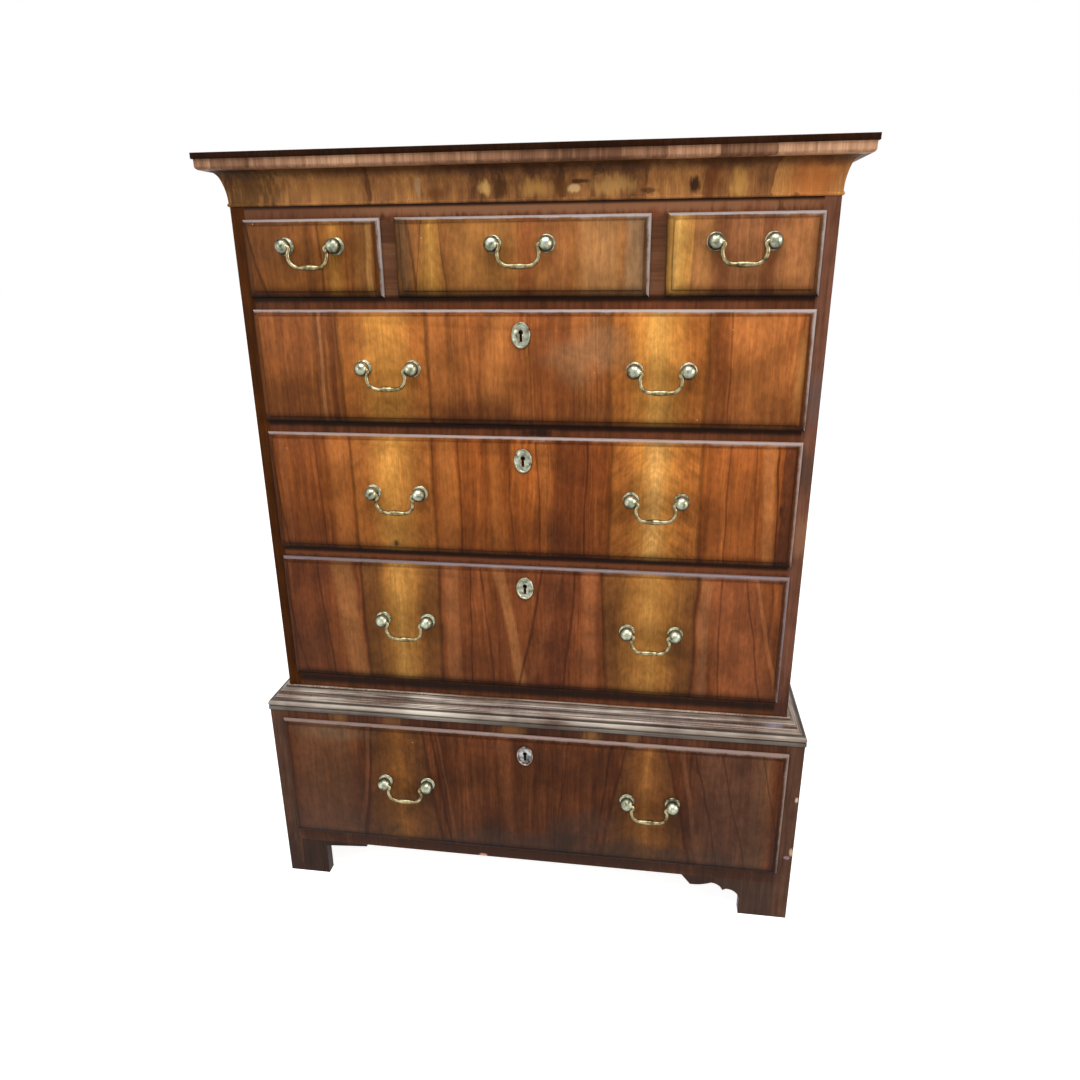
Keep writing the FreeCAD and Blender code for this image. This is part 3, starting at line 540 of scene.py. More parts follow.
@dataclass(frozen=True)
class RubbedAndLitMoulding(Finish):
    """Dark walnut moulding with the wax rubbed off its rounds: the eye sees grey and cream streaks on the
    crests, partly rubbed wax and partly painted highlights of the light above, near-black dirt and painted
    shade in the quirks and under the nose, and warm brown between.

    The base and the quirk are heights in metres.
    """

    base: float
    sky_reflection: Patch
    quirk: float = 0.0205
    light: str = "#d9cdba"
    mid: str = "#5f4738"
    brown: str = "#5b3822"
    dark: str = "#21120a"
    quirk_dirt_and_shade: str = "#140b07"
    # Painted highlights and shade on the rounds and grooves of the slope, from its foot to its head
    reeds: Stops = (
        (0.0, "#c8c8c8"), (0.25, "#ffffff"), (0.4, "#d0d0d0"), (0.48, "#303030"), (0.56, "#b8b8b8"),
        (0.75, "#e8e8e8"), (0.86, "#707070"), (0.95, "#ffffff"),
    )

    def sockets(self, graph: Graph) -> dict[str, Any]:
        """The values and patterns that go to the shader's sockets.

        Args:
            graph: the material's nodes.

        Returns:
            A value or a pattern for each socket.
        """
        place = graph.add("TexCoord", out="Object")
        split = graph.add("SeparateXYZ", {0: place}).node
        normal = graph.add("SeparateXYZ", {0: graph.add("NewGeometry", out="Normal")}).node
        height = graph.add("Math", {0: split.outputs[2], 1: self.base + self.quirk}, operation="SUBTRACT")
        gap = graph.add("Math", {0: height}, operation="ABSOLUTE")
        front = graph.fibres(place, Grain.X, 2.4, 190, 4)
        side = graph.fibres(place, Grain.Y, 2.4, 190, 4)
        turned = graph.add("Math", {0: normal.outputs[0]}, operation="ABSOLUTE")
        faced = graph.add("Math", {0: normal.outputs[1]}, operation="ABSOLUTE")
        which = graph.add("Math", {0: turned, 1: faced}, operation="GREATER_THAN")
        drag = graph.add("Mix", {0: which, 2: front, 3: side})
        cross = graph.fibres(place, Grain.Z, 4, 60, 3)
        cloud = graph.add("TexNoise", {"Vector": place, "Scale": 1 / (150 * MM), "Detail": 3.0})
        wood = graph.add("ValToRGB", {0: cross}, stops=[(0.3, self.dark), (0.7, self.brown)])
        # The pale rub is partly wax rubbed off and partly painted highlight: lighter to the left, on the bead
        # and on faces that turn up
        tilted = graph.add("Math", {0: split.outputs[0], 1: -0.22, 2: cloud}, operation="MULTIPLY_ADD")
        pale = graph.add("ValToRGB", {0: tilted}, stops=[(0.34, self.mid), (0.62, self.light)])
        bead = graph.add("MapRange", {0: height, 1: -MM, 2: MM, 3: 0.24, 4: -0.17})
        rubbed = graph.add("Math", {0: drag, 1: bead}, operation="ADD")
        lifted = graph.add("Math", {0: normal.outputs[2], 1: 0.34, 2: rubbed}, operation="MULTIPLY_ADD")
        colour = graph.lay(wood, pale, lifted, 0.78, 0.48, 0.95)
        # Painted highlights and shade run in bands along the slope
        wavy = graph.add("Math", {0: drag, 1: 5 * MM, 2: height}, operation="MULTIPLY_ADD")
        climb = graph.add("MapRange", {0: wavy, 1: 2.5 * MM, 2: 24.5 * MM})
        reeds = graph.add("ValToRGB", {0: climb}, stops=self.reeds)
        colour = graph.spread(colour, reeds, 0.0, 1.0, 0.45, 1.3)
        # Painted shade on the fillet under the nose
        colour = graph.spread(colour, height, -12.5 * MM, -7 * MM, 0.4, 1.0)
        # Dirt and painted shade in the quirk
        colour = graph.lay(colour, linear(self.quirk_dirt_and_shade), gap, 0.3 * MM, 1.6 * MM, 0.85)
        # Painted reflection of the sky on the wax near the right end
        colour = self.sky_reflection.lay(graph, place, colour, cloud)
        shine = graph.add("MapRange", {0: drag, 1: 0.3, 2: 0.7, 3: 0.42, 4: 0.24})
        bump = graph.add("Bump", {"Strength": 0.35, "Distance": 0.25 * MM, "Height": drag})
        return {
            "Base Color": colour,
            "Roughness": shine,
            "Specular IOR Level": 0.25,
            "Coat Weight": 0.12,
            "Coat Roughness": 0.15,
            "Normal": bump,
        }


@dataclass(frozen=True)
class PlanedTimber(Finish):
    """Plain oak or pine, planed and left dry: the eye sees dull straight streaks and darker growth lines."""

    grain: Grain
    light: str
    dark: str

    def sockets(self, graph: Graph) -> dict[str, Any]:
        """The values and patterns that go to the shader's sockets.

        Args:
            graph: the material's nodes.

        Returns:
            A value or a pattern for each socket.
        """
        place = graph.add("TexCoord", out="Object")
        broad = graph.fibres(place, self.grain, 16, 700, 3)
        fine = graph.fibres(place, self.grain, 2.4, 160, 4)
        stain = graph.add("TexNoise", {"Vector": place, "Scale": 1 / (170 * MM), "Detail": 4.0})
        mixed = graph.add("Math", {0: fine, 1: 0.5, 2: broad}, operation="MULTIPLY_ADD")
        colour = graph.add("ValToRGB", {0: mixed}, stops=[(0.45, self.dark), (1.0, self.light)])
        colour = graph.lay(colour, linear(self.dark), stain, 0.72, 0.45, 0.5)
        bump = graph.add("Bump", {"Strength": 0.5, "Distance": 0.2 * MM, "Height": fine})
        return {"Base Color": colour, "Roughness": 0.7, "Specular IOR Level": 0.25, "Normal": bump}


@dataclass(frozen=True)
class CastMetal(Finish):
    """Cast brass or forged iron, filed and long handled: the eye sees pale rounds, dark tarnish in patches
    and a soft uneven shine; the undersides may be painted darker as shade."""

    bright: str
    mid: str
    tarnish: str
    smooth: float = 0.24
    dull: float = 0.42
    # How much darker the undersides are painted, as shade
    grime_and_shade: float = 0.0

    def sockets(self, graph: Graph) -> dict[str, Any]:
        """The values and patterns that go to the shader's sockets.

        Args:
            graph: the material's nodes.

        Returns:
            A value or a pattern for each socket.
        """
        place = graph.add("TexCoord", out="Object")
        blotch = graph.add("TexNoise", {"Vector": place, "Scale": 1 / (9 * MM), "Detail": 4.0})
        pits = graph.add("TexNoise", {"Vector": place, "Scale": 1 / (2.6 * MM), "Detail": 2.0})
        stops = [(0.3, self.tarnish), (0.45, self.mid), (0.62, self.bright)]
        colour = graph.add("ValToRGB", {0: blotch}, stops=stops)
        colour = graph.lay(colour, linear(self.tarnish), pits, 0.72, 0.6, 0.4)
        # Painted shade: the faces that turn down are darker
        if self.grime_and_shade:
            facing = graph.add("SeparateXYZ", {0: graph.add("TexCoord", out="Normal")}, out=2)
            colour = graph.spread(colour, facing, -0.75, 0.35, 1 - self.grime_and_shade, 1.0)
        shine = graph.add("MapRange", {0: blotch, 1: 0.3, 2: 0.7, 3: self.dull, 4: self.smooth})
        bump = graph.add("Bump", {"Strength": 0.15, "Distance": 0.08 * MM, "Height": pits})
        return {"Base Color": colour, "Metallic": 1.0, "Roughness": shine, "Normal": bump}


def deselect() -> None:
    """Leave nothing selected."""
    bpy.ops.object.select_all(action="DESELECT")


def choose(piece: bpy.types.Object) -> None:
    """Select one piece alone and make it active.

    Args:
        piece: the piece.
    """
    deselect()
    bpy.context.view_layer.objects.active = piece
    piece.select_set(True)


@contextmanager
def editing(piece: bpy.types.Object) -> Iterator[None]:
    """Edit one piece with nothing in it selected at first.

    Args:
        piece: the mesh object to edit.

    Returns:
        A context that ends in object mode.
    """
    choose(piece)
    bpy.ops.object.mode_set(mode="EDIT")
    bpy.ops.mesh.select_all(action="DESELECT")
    yield
    bpy.ops.object.mode_set(mode="OBJECT")


def pick(piece: bpy.types.Object, part: Part, test: Callable[[Any], bool]) -> None:
    """Select just the faces or edges that pass a test, in edit mode.

    Args:
        piece: the mesh object that is edited.
        part: whether faces or edges are picked.
        test: tells whether a face or an edge is wanted.
    """
    bpy.ops.mesh.select_mode(type=part.name)
    bpy.ops.mesh.select_all(action="DESELECT")
    mesh = bmesh.from_edit_mesh(piece.data)
    for item in getattr(mesh, part.value):
        item.select_set(test(item))
    bmesh.update_edit_mesh(piece.data)


def extrude(move: Sequence[float]) -> None:
    """Extrude what is selected by a move in metres."""
    bpy.ops.mesh.extrude_region_move(TRANSFORM_OT_translate={"value": move})


def spin(
    steps: int, angle: float, centre: Sequence[float], axis: Sequence[float], whole: bool = False
) -> None:
    """Spin what is selected about an axis.

    Args:
        steps: how many steps the turn has.
        angle: the turn in radians by the right-hand rule.
        centre: a point on the axis, in metres.
        axis: the way the axis points.
        whole: whether it is a whole turn, whose ends are merged.
    """
    # The operator counts angles the other way round
    bpy.ops.mesh.spin(steps=steps, angle=-angle, center=centre, axis=axis, use_auto_merge=whole)


def modify(piece: bpy.types.Object, kind: str, **settings: Any) -> None:
    """Give a piece one modifier and apply it.

    Args:
        piece: the mesh object.
        kind: the modifier's type.
        settings: the modifier's own properties.
    """
    choose(piece)
    modifier = piece.modifiers.new(kind.lower(), kind)
    for key, value in settings.items():
        setattr(modifier, key, value)
    bpy.ops.object.modifier_apply(modifier=modifier.name)


def close_up(piece: bpy.types.Object) -> None:
    """Merge doubled points of a piece and turn its faces outwards.

    Args:
        piece: the mesh object.
    """
    with editing(piece):
        bpy.ops.mesh.select_all(action="SELECT")
        bpy.ops.mesh.remove_doubles(threshold=0.01 * MM)
        bpy.ops.mesh.normals_make_consistent(inside=False)


def soften(piece: bpy.types.Object, width: float, angle: float = 40.0, segments: int = 2) -> None:
    """Round a piece's sharp edges and shade it smooth.

    Args:
        piece: the mesh object.
        width: the width of the rounding in millimetres, or nought for none.
        angle: edges sharper than this many degrees are rounded.
        segments: how many faces each rounding has.
    """
    if width:
        modify(
            piece, "BEVEL", width=width * MM, segments=segments, limit_method="ANGLE",
            angle_limit=math.radians(angle), use_clamp_overlap=True,
        )
    choose(piece)
    bpy.ops.object.shade_smooth_by_angle(angle=math.radians(35))


def settle(piece: bpy.types.Object) -> None:
    """Put a piece's place, turn and size into its mesh."""
    choose(piece)
    bpy.ops.object.transform_apply(location=True, rotation=True, scale=True)


def twin(piece: bpy.types.Object, move: Sequence[float], flip: bool = False) -> bpy.types.Object:
    """Copy a piece with its own mesh.

    Args:
        piece: the piece to copy.
        move: where the copy goes, in metres.
        flip: whether the copy is turned half round about the axis that points out of its front.

    Returns:
        The copy, with its place in its mesh.
    """
    other = piece.copy()
    other.data = piece.data.copy()
    bpy.context.scene.collection.objects.link(other)
    if flip:
        other.rotation_euler = (0.0, math.pi, 0.0)
    other.location = move
    settle(other)
    return other


def join(pieces: Sequence[bpy.types.Object], name: str) -> bpy.types.Object:
    """Join pieces into one object and name it.

    Args:
        pieces: the mesh objects.
        name: the name of the whole.

    Returns:
        The first piece, which now holds them all.
    """
    deselect()
    for piece in pieces:
        piece.select_set(True)
    bpy.context.view_layer.objects.active = pieces[0]
    if len(pieces) > 1:
        bpy.ops.object.join()
    pieces[0].name = name
    return pieces[0]


def discard(piece: bpy.types.Object) -> None:
    """Remove a pattern piece or a cutter once it has been used."""
    bpy.data.objects.remove(piece, do_unlink=True)


def carve(piece: bpy.types.Object, cutter: bpy.types.Object) -> None:
    """Cut the shape of a cutter out of a piece."""
    modify(piece, "BOOLEAN", operation="DIFFERENCE", solver="EXACT", object=cutter)


def dress(piece: bpy.types.Object, *materials: bpy.types.Material) -> None:
    """Give a piece its materials.

    Args:
        piece: the mesh object.
        materials: its materials in the order of their slots.
    """
    piece.data.materials.clear()
    for material in materials:
        piece.data.materials.append(material)


@dataclass
class Pen:
    """Draws an outline in one plane as a chain of straight runs and arcs.

    The outline's u and v are measured in millimetres along two directions from an origin in metres.
    """

    name: str
    origin: Vector
    u_way: Vector
    v_way: Vector
    at: Point = (0.0, 0.0)
    piece: bpy.types.Object = field(init=False)

    def spot(self, point: Point) -> Vector:
        """The place in metres of a point of the outline."""
        return self.origin + self.u_way * point[0] * MM + self.v_way * point[1] * MM

    def start(self, point: Point) -> None:
        """Put the pen down and stay in edit mode.

        Args:
            point: where the outline starts.
        """
        deselect()
        bpy.ops.mesh.primitive_circle_add(vertices=3, radius=MM, location=(0, 0, 0))
        self.piece = bpy.context.object
        self.piece.name = self.name
        bpy.ops.object.mode_set(mode="EDIT")
        bpy.ops.mesh.select_mode(type="VERT")
        bpy.ops.mesh.select_all(action="SELECT")
        bpy.ops.mesh.merge(type="CENTER")
        bpy.ops.transform.translate(value=self.spot(point))
        self.at = point

    def line(self, point: Point) -> None:
        """Draw a straight run.

        Args:
            point: where the run ends.
        """
        move = self.spot(point) - self.spot(self.at)
        bpy.ops.mesh.extrude_vertices_move(TRANSFORM_OT_translate={"value": move})
        self.at = point

    def arc(self, point: Point, radius: float, steps: int) -> None:
        """Draw an arc.

        Args:
            point: where the arc ends.
            radius: its radius in millimetres; the arc turns left where this is positive, else right.
            steps: how many straight steps it is drawn in.
        """
        chord = Vector(point) - Vector(self.at)
        side = Vector((-chord.y, chord.x)).normalized() * math.copysign(1.0, radius)
        reach = math.sqrt(max(radius * radius - chord.length_squared / 4, 0.0))
        centre = (Vector(point) + Vector(self.at)) / 2 + side * reach
        angle = 2 * math.asin(min(1.0, chord.length / 2 / abs(radius))) * math.copysign(1.0, radius)
        axis = self.u_way.cross(self.v_way)
        spin(steps, angle, self.spot((centre.x, centre.y)), axis)
        self.at = point

    def lift(self) -> bpy.types.Object:
        """Leave edit mode and hand over the outline."""
        bpy.ops.object.mode_set(mode="OBJECT")
        return self.piece


@dataclass
class Run:
    """One straight length of moulding, drawn in profile, drawn out and cut to its mitres."""

    name: str
    outline: Sequence[tuple[float, ...]]
    start: Vector
    out_way: Vector
    length: float
    along: Vector
    mitres: Sequence[tuple[Vector, Vector]]
    arc_steps: int = 9

    def build(self) -> bpy.types.Object:
        """Make the length of moulding.

        Returns:
            A closed mesh object.
        """
        pen = Pen(self.name, self.start, self.out_way, UP)
        pen.start(self.outline[0][:2])
        for corner in self.outline[1:]:
            if len(corner) == 2:
                pen.line(corner)
            else:
                pen.arc(corner[:2], corner[2], self.arc_steps)
        bpy.ops.mesh.select_all(action="SELECT")
        bpy.ops.mesh.edge_face_add()
        extrude(self.along * self.length)
        for spot, normal in self.mitres:
            bpy.ops.mesh.select_all(action="SELECT")
            bpy.ops.mesh.bisect(
                plane_co=spot, plane_no=normal, use_fill=True, clear_inner=True, threshold=0.001 * MM
            )
        piece = pen.lift()
        close_up(piece)
        return piece


@dataclass
class Moulding:
    """A front length and two returns round the chest, with sizes in millimetres.

    A corner of the outline is how far out and how far up it is, with a radius where an arc leads to it.
    """

    name: str
    node: str
    body: str
    outline: Sequence[tuple[float, ...]]
    reach: float
    rounding: float = 0.5
    sharp: float = 30.0

    def build(self) -> bpy.types.Object:
        """Model the three lengths.

        Returns:
            The joined moulding, which replaces its node.
        """
        left_low, left_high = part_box("chest_side_left")
        right_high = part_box("chest_side_right")[1]
        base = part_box(self.node)[0].z
        face, back = left_low.y, left_high.y
        reach = self.reach * MM
        left, right = Vector((left_low.x, face, base)), Vector((right_high.x, face, base))
        left_mitre, right_mitre = ACROSS - INWARDS, -ACROSS - INWARDS
        wide, deep = right.x - left.x + 2 * reach, back - face + reach
        mitres = [(left, left_mitre), (right, right_mitre)]
        runs = (
            ("front", left - ACROSS * reach, -INWARDS, wide, ACROSS, mitres),
            ("left", left - INWARDS * reach, -ACROSS, deep, INWARDS, [(left, -left_mitre)]),
            ("right", right - INWARDS * reach, ACROSS, deep, INWARDS, [(right, -right_mitre)]),
        )
        pieces = [Run(f"{self.name}_{side}", self.outline, *rest).build() for side, *rest in runs]
        for piece in pieces:
            soften(piece, self.rounding, self.sharp)
        moulding = join(pieces, self.name)
        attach(moulding, self.body)
        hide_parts(self.node)
        return moulding


@dataclass
class Handle:
    """The pattern of a swan-neck bail and its post, in millimetres."""

    spacing: float = 89.0
    drop: float = 34.0
    width: float = 69.0
    corner: float = 18.5
    bend: float = 9.0
    lean: float = 40.0
    curl: float = 4.6
    pin_end: float = 41.0
    wire: float = 3.5
    swell: float = 5.0
    rosette: float = 14.6
    pommel: float = 13.2
    pommel_out: float = 12.0
    shank: float = 6.0
    nut: float = 13.0
    nut_high: float = 4.0
    through: float = 30.0
    # The neck's foot, the dome's radius, and where the pommel's round begins, in degrees
    neck: Point = (10.4, 3.4)
    dome: float = 14.0
    round_from: float = -40.0
    round_steps: int = 12
    fixing_soft: float = 0.8
    # Shares of the grip's half length, and how far the swell has gone there
    taper: tuple[Point, ...] = ((0.2, 0.02), (0.45, 0.2), (0.7, 0.6), (0.9, 0.92), (1.0, 1.0))

    def make_bail(self) -> bpy.types.Object:
        """Bend the bail from its middle to one pin and mirror it.

        Returns:
            A bail whose pivot line runs through the origin along X.
        """
        half, low = self.width / 2, -self.drop
        deselect()
        bpy.ops.mesh.primitive_circle_add(
            vertices=16, radius=self.swell * MM, location=(0, 0, low * MM), rotation=(0, math.pi / 2, 0)
        )
        bail = bpy.context.object
        settle(bail)
        flat = half - self.corner
        side = math.radians(self.lean)
        throat = half - self.bend * (1 - math.cos(side))
        rise = self.drop - self.curl * (math.sin(side) + 1) - self.bend * math.sin(side)
        curl_at = throat + self.curl * math.cos(side)
        with editing(bail):
            bpy.ops.mesh.select_mode(type="VERT")
            bpy.ops.mesh.select_all(action="SELECT")
            spot, girth = 0.0, self.swell
            for share, slim in self.taper:
                extrude(((share * flat - spot) * MM, 0, 0))
                spot = share * flat
                radius = self.swell + (self.wire - self.swell) * slim
                bpy.ops.transform.resize(
                    value=(1, radius / girth, radius / girth), center_override=(spot * MM, 0, low * MM)
                )
                girth = radius
            spin(8, -math.pi / 2, (flat * MM, 0, (low + self.corner) * MM), INWARDS)
            extrude((0, 0, (rise - self.corner) * MM))
            spin(5, -side, ((half - self.bend) * MM, 0, (low + rise) * MM), INWARDS)
            spin(10, side + math.pi / 2, (curl_at * MM, 0, -self.curl * MM), INWARDS)
            extrude(((self.pin_end - curl_at) * MM, 0, 0))
            bpy.ops.mesh.edge_face_add()
        modify(bail, "MIRROR", use_clip=True, merge_threshold=0.05 * MM)
        close_up(bail)
        soften(bail, 0.0)
        return bail

    def make_post(self) -> bpy.types.Object:
        """Turn the domed rosette, neck and pommel, and add the shank and nut behind.

        Returns:
            A post whose rosette sits on the origin and faces -Y.
        """
        pen = Pen("post_pattern", Vector((0, 0, 0)), ACROSS, -INWARDS)
        rim = self.rosette
        pen.start((0.0, 0.0))
        for point in ((rim - 0.4, 0.0), (rim, 0.5), (rim, 1.3)):
            pen.line(point)
        pen.arc((rim - 1.2, 2.4), 1.3, 4)
        pen.line((rim - 1.9, 2.3))
        pen.arc(self.neck, self.dome, 3)
        first, ball = math.radians(self.round_from), self.pommel
        for step in range(self.round_steps):
            angle = first + (math.pi / 2 - first) * step / (self.round_steps - 1)
            pen.line((max(ball * math.cos(angle), 0.0), self.pommel_out + ball * math.sin(angle)))
        bpy.ops.mesh.select_all(action="SELECT")
        spin(32, 2 * math.pi, (0, 0, 0), INWARDS, True)
        post = pen.lift()
        close_up(post)
        soften(post, 0.0)
        pieces = [post]
        fixings = ((self.shank, 0.0, self.through), (self.nut, self.through, self.nut_high))
        for width, begin, length in fixings:
            deselect()
            place = (0, (begin + length / 2) * MM, 0)
            size = (width * MM, length * MM, width * MM)
            bpy.ops.mesh.primitive_cube_add(size=1, location=place, scale=size)
            fixing = bpy.context.object
            settle(fixing)
            soften(fixing, self.fixing_soft)
            pieces.append(fixing)
        return join(pieces, "post_pattern")


@dataclass
class Escutcheon:
    """An oval keyhole plate with a moulded rim, in millimetres."""

    width: float = 33.0
    height: float = 44.0
    thick: float = 1.5
    rim: float = 3.6
    rise: float = 1.4
    key_up: float = 4.5
    key_round: float = 4.2
    key_slot: float = 5.6
    key_length: float = 15.5
    key_ahead: float = 8.0
    # How wide the rim's outer slope, its inner slope and the edge of the sunk middle are, and its rise
    outer_slope: float = 0.8
    inner_slope: float = 0.7
    middle_edge: float = 0.6
    middle_rise: float = 0.4

    def make_keyhole(self, depth: float) -> bpy.types.Object:
        """Make the cutter for a keyhole.

        Args:
            depth: how far it reaches behind the plate, in millimetres.

        Returns:
            A cutter with the plate's middle at the origin.
        """
        deselect()
        bpy.ops.mesh.primitive_cylinder_add(
            vertices=24, radius=self.key_round * MM, depth=(depth + self.key_ahead) * MM,
            location=(0, (depth - self.key_ahead) / 2 * MM, self.key_up * MM), rotation=(math.pi / 2, 0, 0),
        )
        cutter = bpy.context.object
        settle(cutter)
        with editing(cutter):
            pick(cutter, Part.FACE, lambda face: face.normal.z < -0.9 and abs(face.normal.y) < 0.1)
            extrude((0, 0, -(self.key_length - self.key_round) * MM))
            bpy.ops.transform.resize(value=(self.key_slot / self.key_round, 1, 1))
        return cutter

    def build(self, sunk: float) -> bpy.types.Object:
        """Model the plate.

        Args:
            sunk: how far the inner plate lies below the rim, in millimetres.

        Returns:
            A plate whose back sits on the origin and which faces -Y.
        """
        deselect()
        bpy.ops.mesh.primitive_circle_add(
            vertices=48, radius=self.width / 2 * MM, fill_type="NGON", rotation=(math.pi / 2, 0, 0)
        )
        plate = bpy.context.object
        settle(plate)
        top = self.thick + self.rise
        with editing(plate):
            bpy.ops.mesh.select_all(action="SELECT")
            bpy.ops.transform.resize(value=(1, 1, self.height / self.width))
            extrude((0, -top * 0.6 * MM, 0))
            bpy.ops.mesh.inset(thickness=self.outer_slope * MM)
            bpy.ops.transform.translate(value=(0, -top * 0.4 * MM, 0))
            bpy.ops.mesh.inset(thickness=(self.rim - 2 * self.outer_slope) * MM)
            bpy.ops.mesh.inset(thickness=self.inner_slope * MM)
            bpy.ops.transform.translate(value=(0, sunk * MM, 0))
            bpy.ops.mesh.inset(thickness=self.middle_edge * MM)
            bpy.ops.transform.translate(value=(0, -self.middle_rise * MM, 0))
        close_up(plate)
        return plate


@dataclass
class DrawerDress:
    """What the eye sees of one drawer: its veneered front, its brasses and its bails, in millimetres."""

    name: str
    tags: Sequence[str]
    edge: float = 8.0
    lip_wide: float = 9.5
    lip_deep: float = 6.5
    lip_steps: int = 8
    margin: float = 1.5
    field_rise: float = 2.0
    soft: float = 0.6
    ledge: float = 0.5
    block: float = 20.0
    back_in: float = 0.4
    side_in: float = 5.9
    low_in: float = 5.2
    top_in: float = 6.9
    veneer_edge: float = 0.3
    key_drop: float = 41.5
    wire: float = 2.9
    # The field is the only flat face of the front that is larger than this, in square metres
    least_field: float = 0.005

    def span(self) -> tuple[Vector, Vector]:
        """The corners of the front's CAD solid."""
        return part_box(f"{self.name}_drawer_front")

    def key_place(self) -> Vector:
        """Where the middle of the key plate sits on the field."""
        low, high = self.span()
        return Vector(((low.x + high.x) / 2, low.y, high.z - self.key_drop * MM))

    def build_front(self, cutter: bpy.types.Object | None) -> bpy.types.Object:
        """Model the lipped front.

        Args:
            cutter: the keyhole's cutter, if the drawer has a lock.

        Returns:
            The front, which replaces its node.
        """
        low, high = self.span()
        lip_back = high.y - self.block * MM
        flatten = self.lip_deep / self.lip_wide
        slab = self.edge / flatten * MM
        wide, tall = high.x - low.x, high.z - low.z
        middle = Vector(((low.x + high.x) / 2, lip_back, (low.z + high.z) / 2))
        deselect()
        bpy.ops.mesh.primitive_cube_add(
            size=1, location=middle - INWARDS * slab / 2, scale=(wide, slab, tall)
        )
        front = bpy.context.object
        front.name = f"{self.name}_veneered_front"
        settle(front)
        with editing(front):
            pick(front, Part.EDGE, lambda edge: all(vert.co.y < lip_back - slab / 2 for vert in edge.verts))
            bpy.ops.mesh.bevel(
                offset=self.lip_wide * MM, segments=self.lip_steps, profile=0.5, affect="EDGES"
            )
            bpy.ops.mesh.select_all(action="SELECT")
            bpy.ops.transform.resize(value=(1, flatten, 1), center_override=middle)
            pick(
                front, Part.FACE,
                lambda face: face.normal.y < -SQUARELY and face.calc_area() > self.least_field,
            )
            bpy.ops.mesh.inset(thickness=self.margin * MM)
            extrude((0, -self.field_rise * MM, 0))
            pick(front, Part.FACE, lambda face: face.normal.y > SQUARELY)
            bpy.ops.mesh.inset(thickness=self.ledge * MM)
            new_wide = wide - 2 * self.side_in * MM
            new_tall = tall - (self.low_in + self.top_in) * MM
            ledges = 2 * self.ledge * MM
            shrink = (new_wide / (wide - ledges), 1, new_tall / (tall - ledges))
            bpy.ops.transform.resize(value=shrink, center_override=middle)
            bpy.ops.transform.translate(value=(0, 0, (self.low_in - self.top_in) / 2 * MM))
            extrude((0, (self.block - self.back_in) * MM, 0))
        close_up(front)
        if cutter is not None:
            way = twin(cutter, self.key_place())
            carve(front, way)
            discard(way)
        soften(front, self.soft)
        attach(front, f"{self.name}_drawer")
        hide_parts(f"{self.name}_drawer_front")
        return front

    def dress_front(self, front: bpy.types.Object, veneer: FiguredVeneer, core: bpy.types.Material) -> None:
        """Lay veneer on the field and the lip, and leave bare wood behind them.

        Args:
            front: the modelled front.
            veneer: its figured finish.
            core: the material of the bare wood.
        """
        dress(front, veneer.material(), core)
        back = self.span()[1].y - (self.block + self.veneer_edge) * MM
        for face in front.data.polygons:
            face.material_index = int(face.center.y > back)

    def pivots(self) -> list[tuple[str, Vector]]:
        """Find the bails' pivot lines.

        Returns:
            The tag of each bail and the middle of its pivot line.
        """
        places = []
        for tag in self.tags:
            low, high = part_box(f"{self.name}_{tag}bail")
            middle = (low + high) / 2
            places.append((tag, Vector((middle.x, middle.y, high.z - self.wire * MM))))
        return places

    def hang_brasses(
        self, handle: Handle, bail: bpy.types.Object, post: bpy.types.Object, plate: bpy.types.Object | None
    ) -> list[bpy.types.Object]:
        """Copy the patterns of the brasses to their places on the drawer.

        Args:
            handle: the sizes of the handles.
            bail: the bail's pattern.
            post: the post's pattern.
            plate: the escutcheon's pattern, if the drawer has a lock.

        Returns:
            The bails, and what is fixed to the drawer as one piece.
        """
        bails, fixed = [], []
        for tag, pivot in self.pivots():
            base = Vector((pivot.x, self.span()[0].y, pivot.z))
            for side in (-1, 1):
                fixed.append(twin(post, base + Vector((side * handle.spacing / 2 * MM, 0, 0)), side > 0))
            hung = twin(bail, pivot)
            hung.name = f"{self.name}_{tag}swan_neck_bail"
            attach(hung, f"{self.name}_{tag}handle")
            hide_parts(f"{self.name}_{tag}bail")
            bails.append(hung)
        if plate is not None:
            fixed.append(twin(plate, self.key_place()))
        brasses = join(fixed, f"{self.name}_brass_fittings")
        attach(brasses, f"{self.name}_drawer")
        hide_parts(f"{self.name}_brasses")
        return [*bails, brasses]


@dataclass(frozen=True)
class Panel:
    """One soft lamp panel: place, aim and size in metres, power in watts, and colour."""

    name: str
    spot: Place
    aim: Place
    wide: float
    tall: float
    power: float
    colour: str

    def hang(self) -> None:
        """Hang the panel and turn it to its aim."""
        lamp = bpy.data.lights.new(self.name, "AREA")
        lamp.shape = "RECTANGLE"
        lamp.size = self.wide
        lamp.size_y = self.tall
        lamp.energy = self.power
        lamp.color = linear(self.colour)[:3]
        panel = bpy.data.objects.new(self.name, lamp)
        panel.location = self.spot
        panel.rotation_euler = (Vector(self.aim) - Vector(self.spot)).to_track_quat("-Z", "Y").to_euler()
        bpy.context.scene.collection.objects.link(panel)


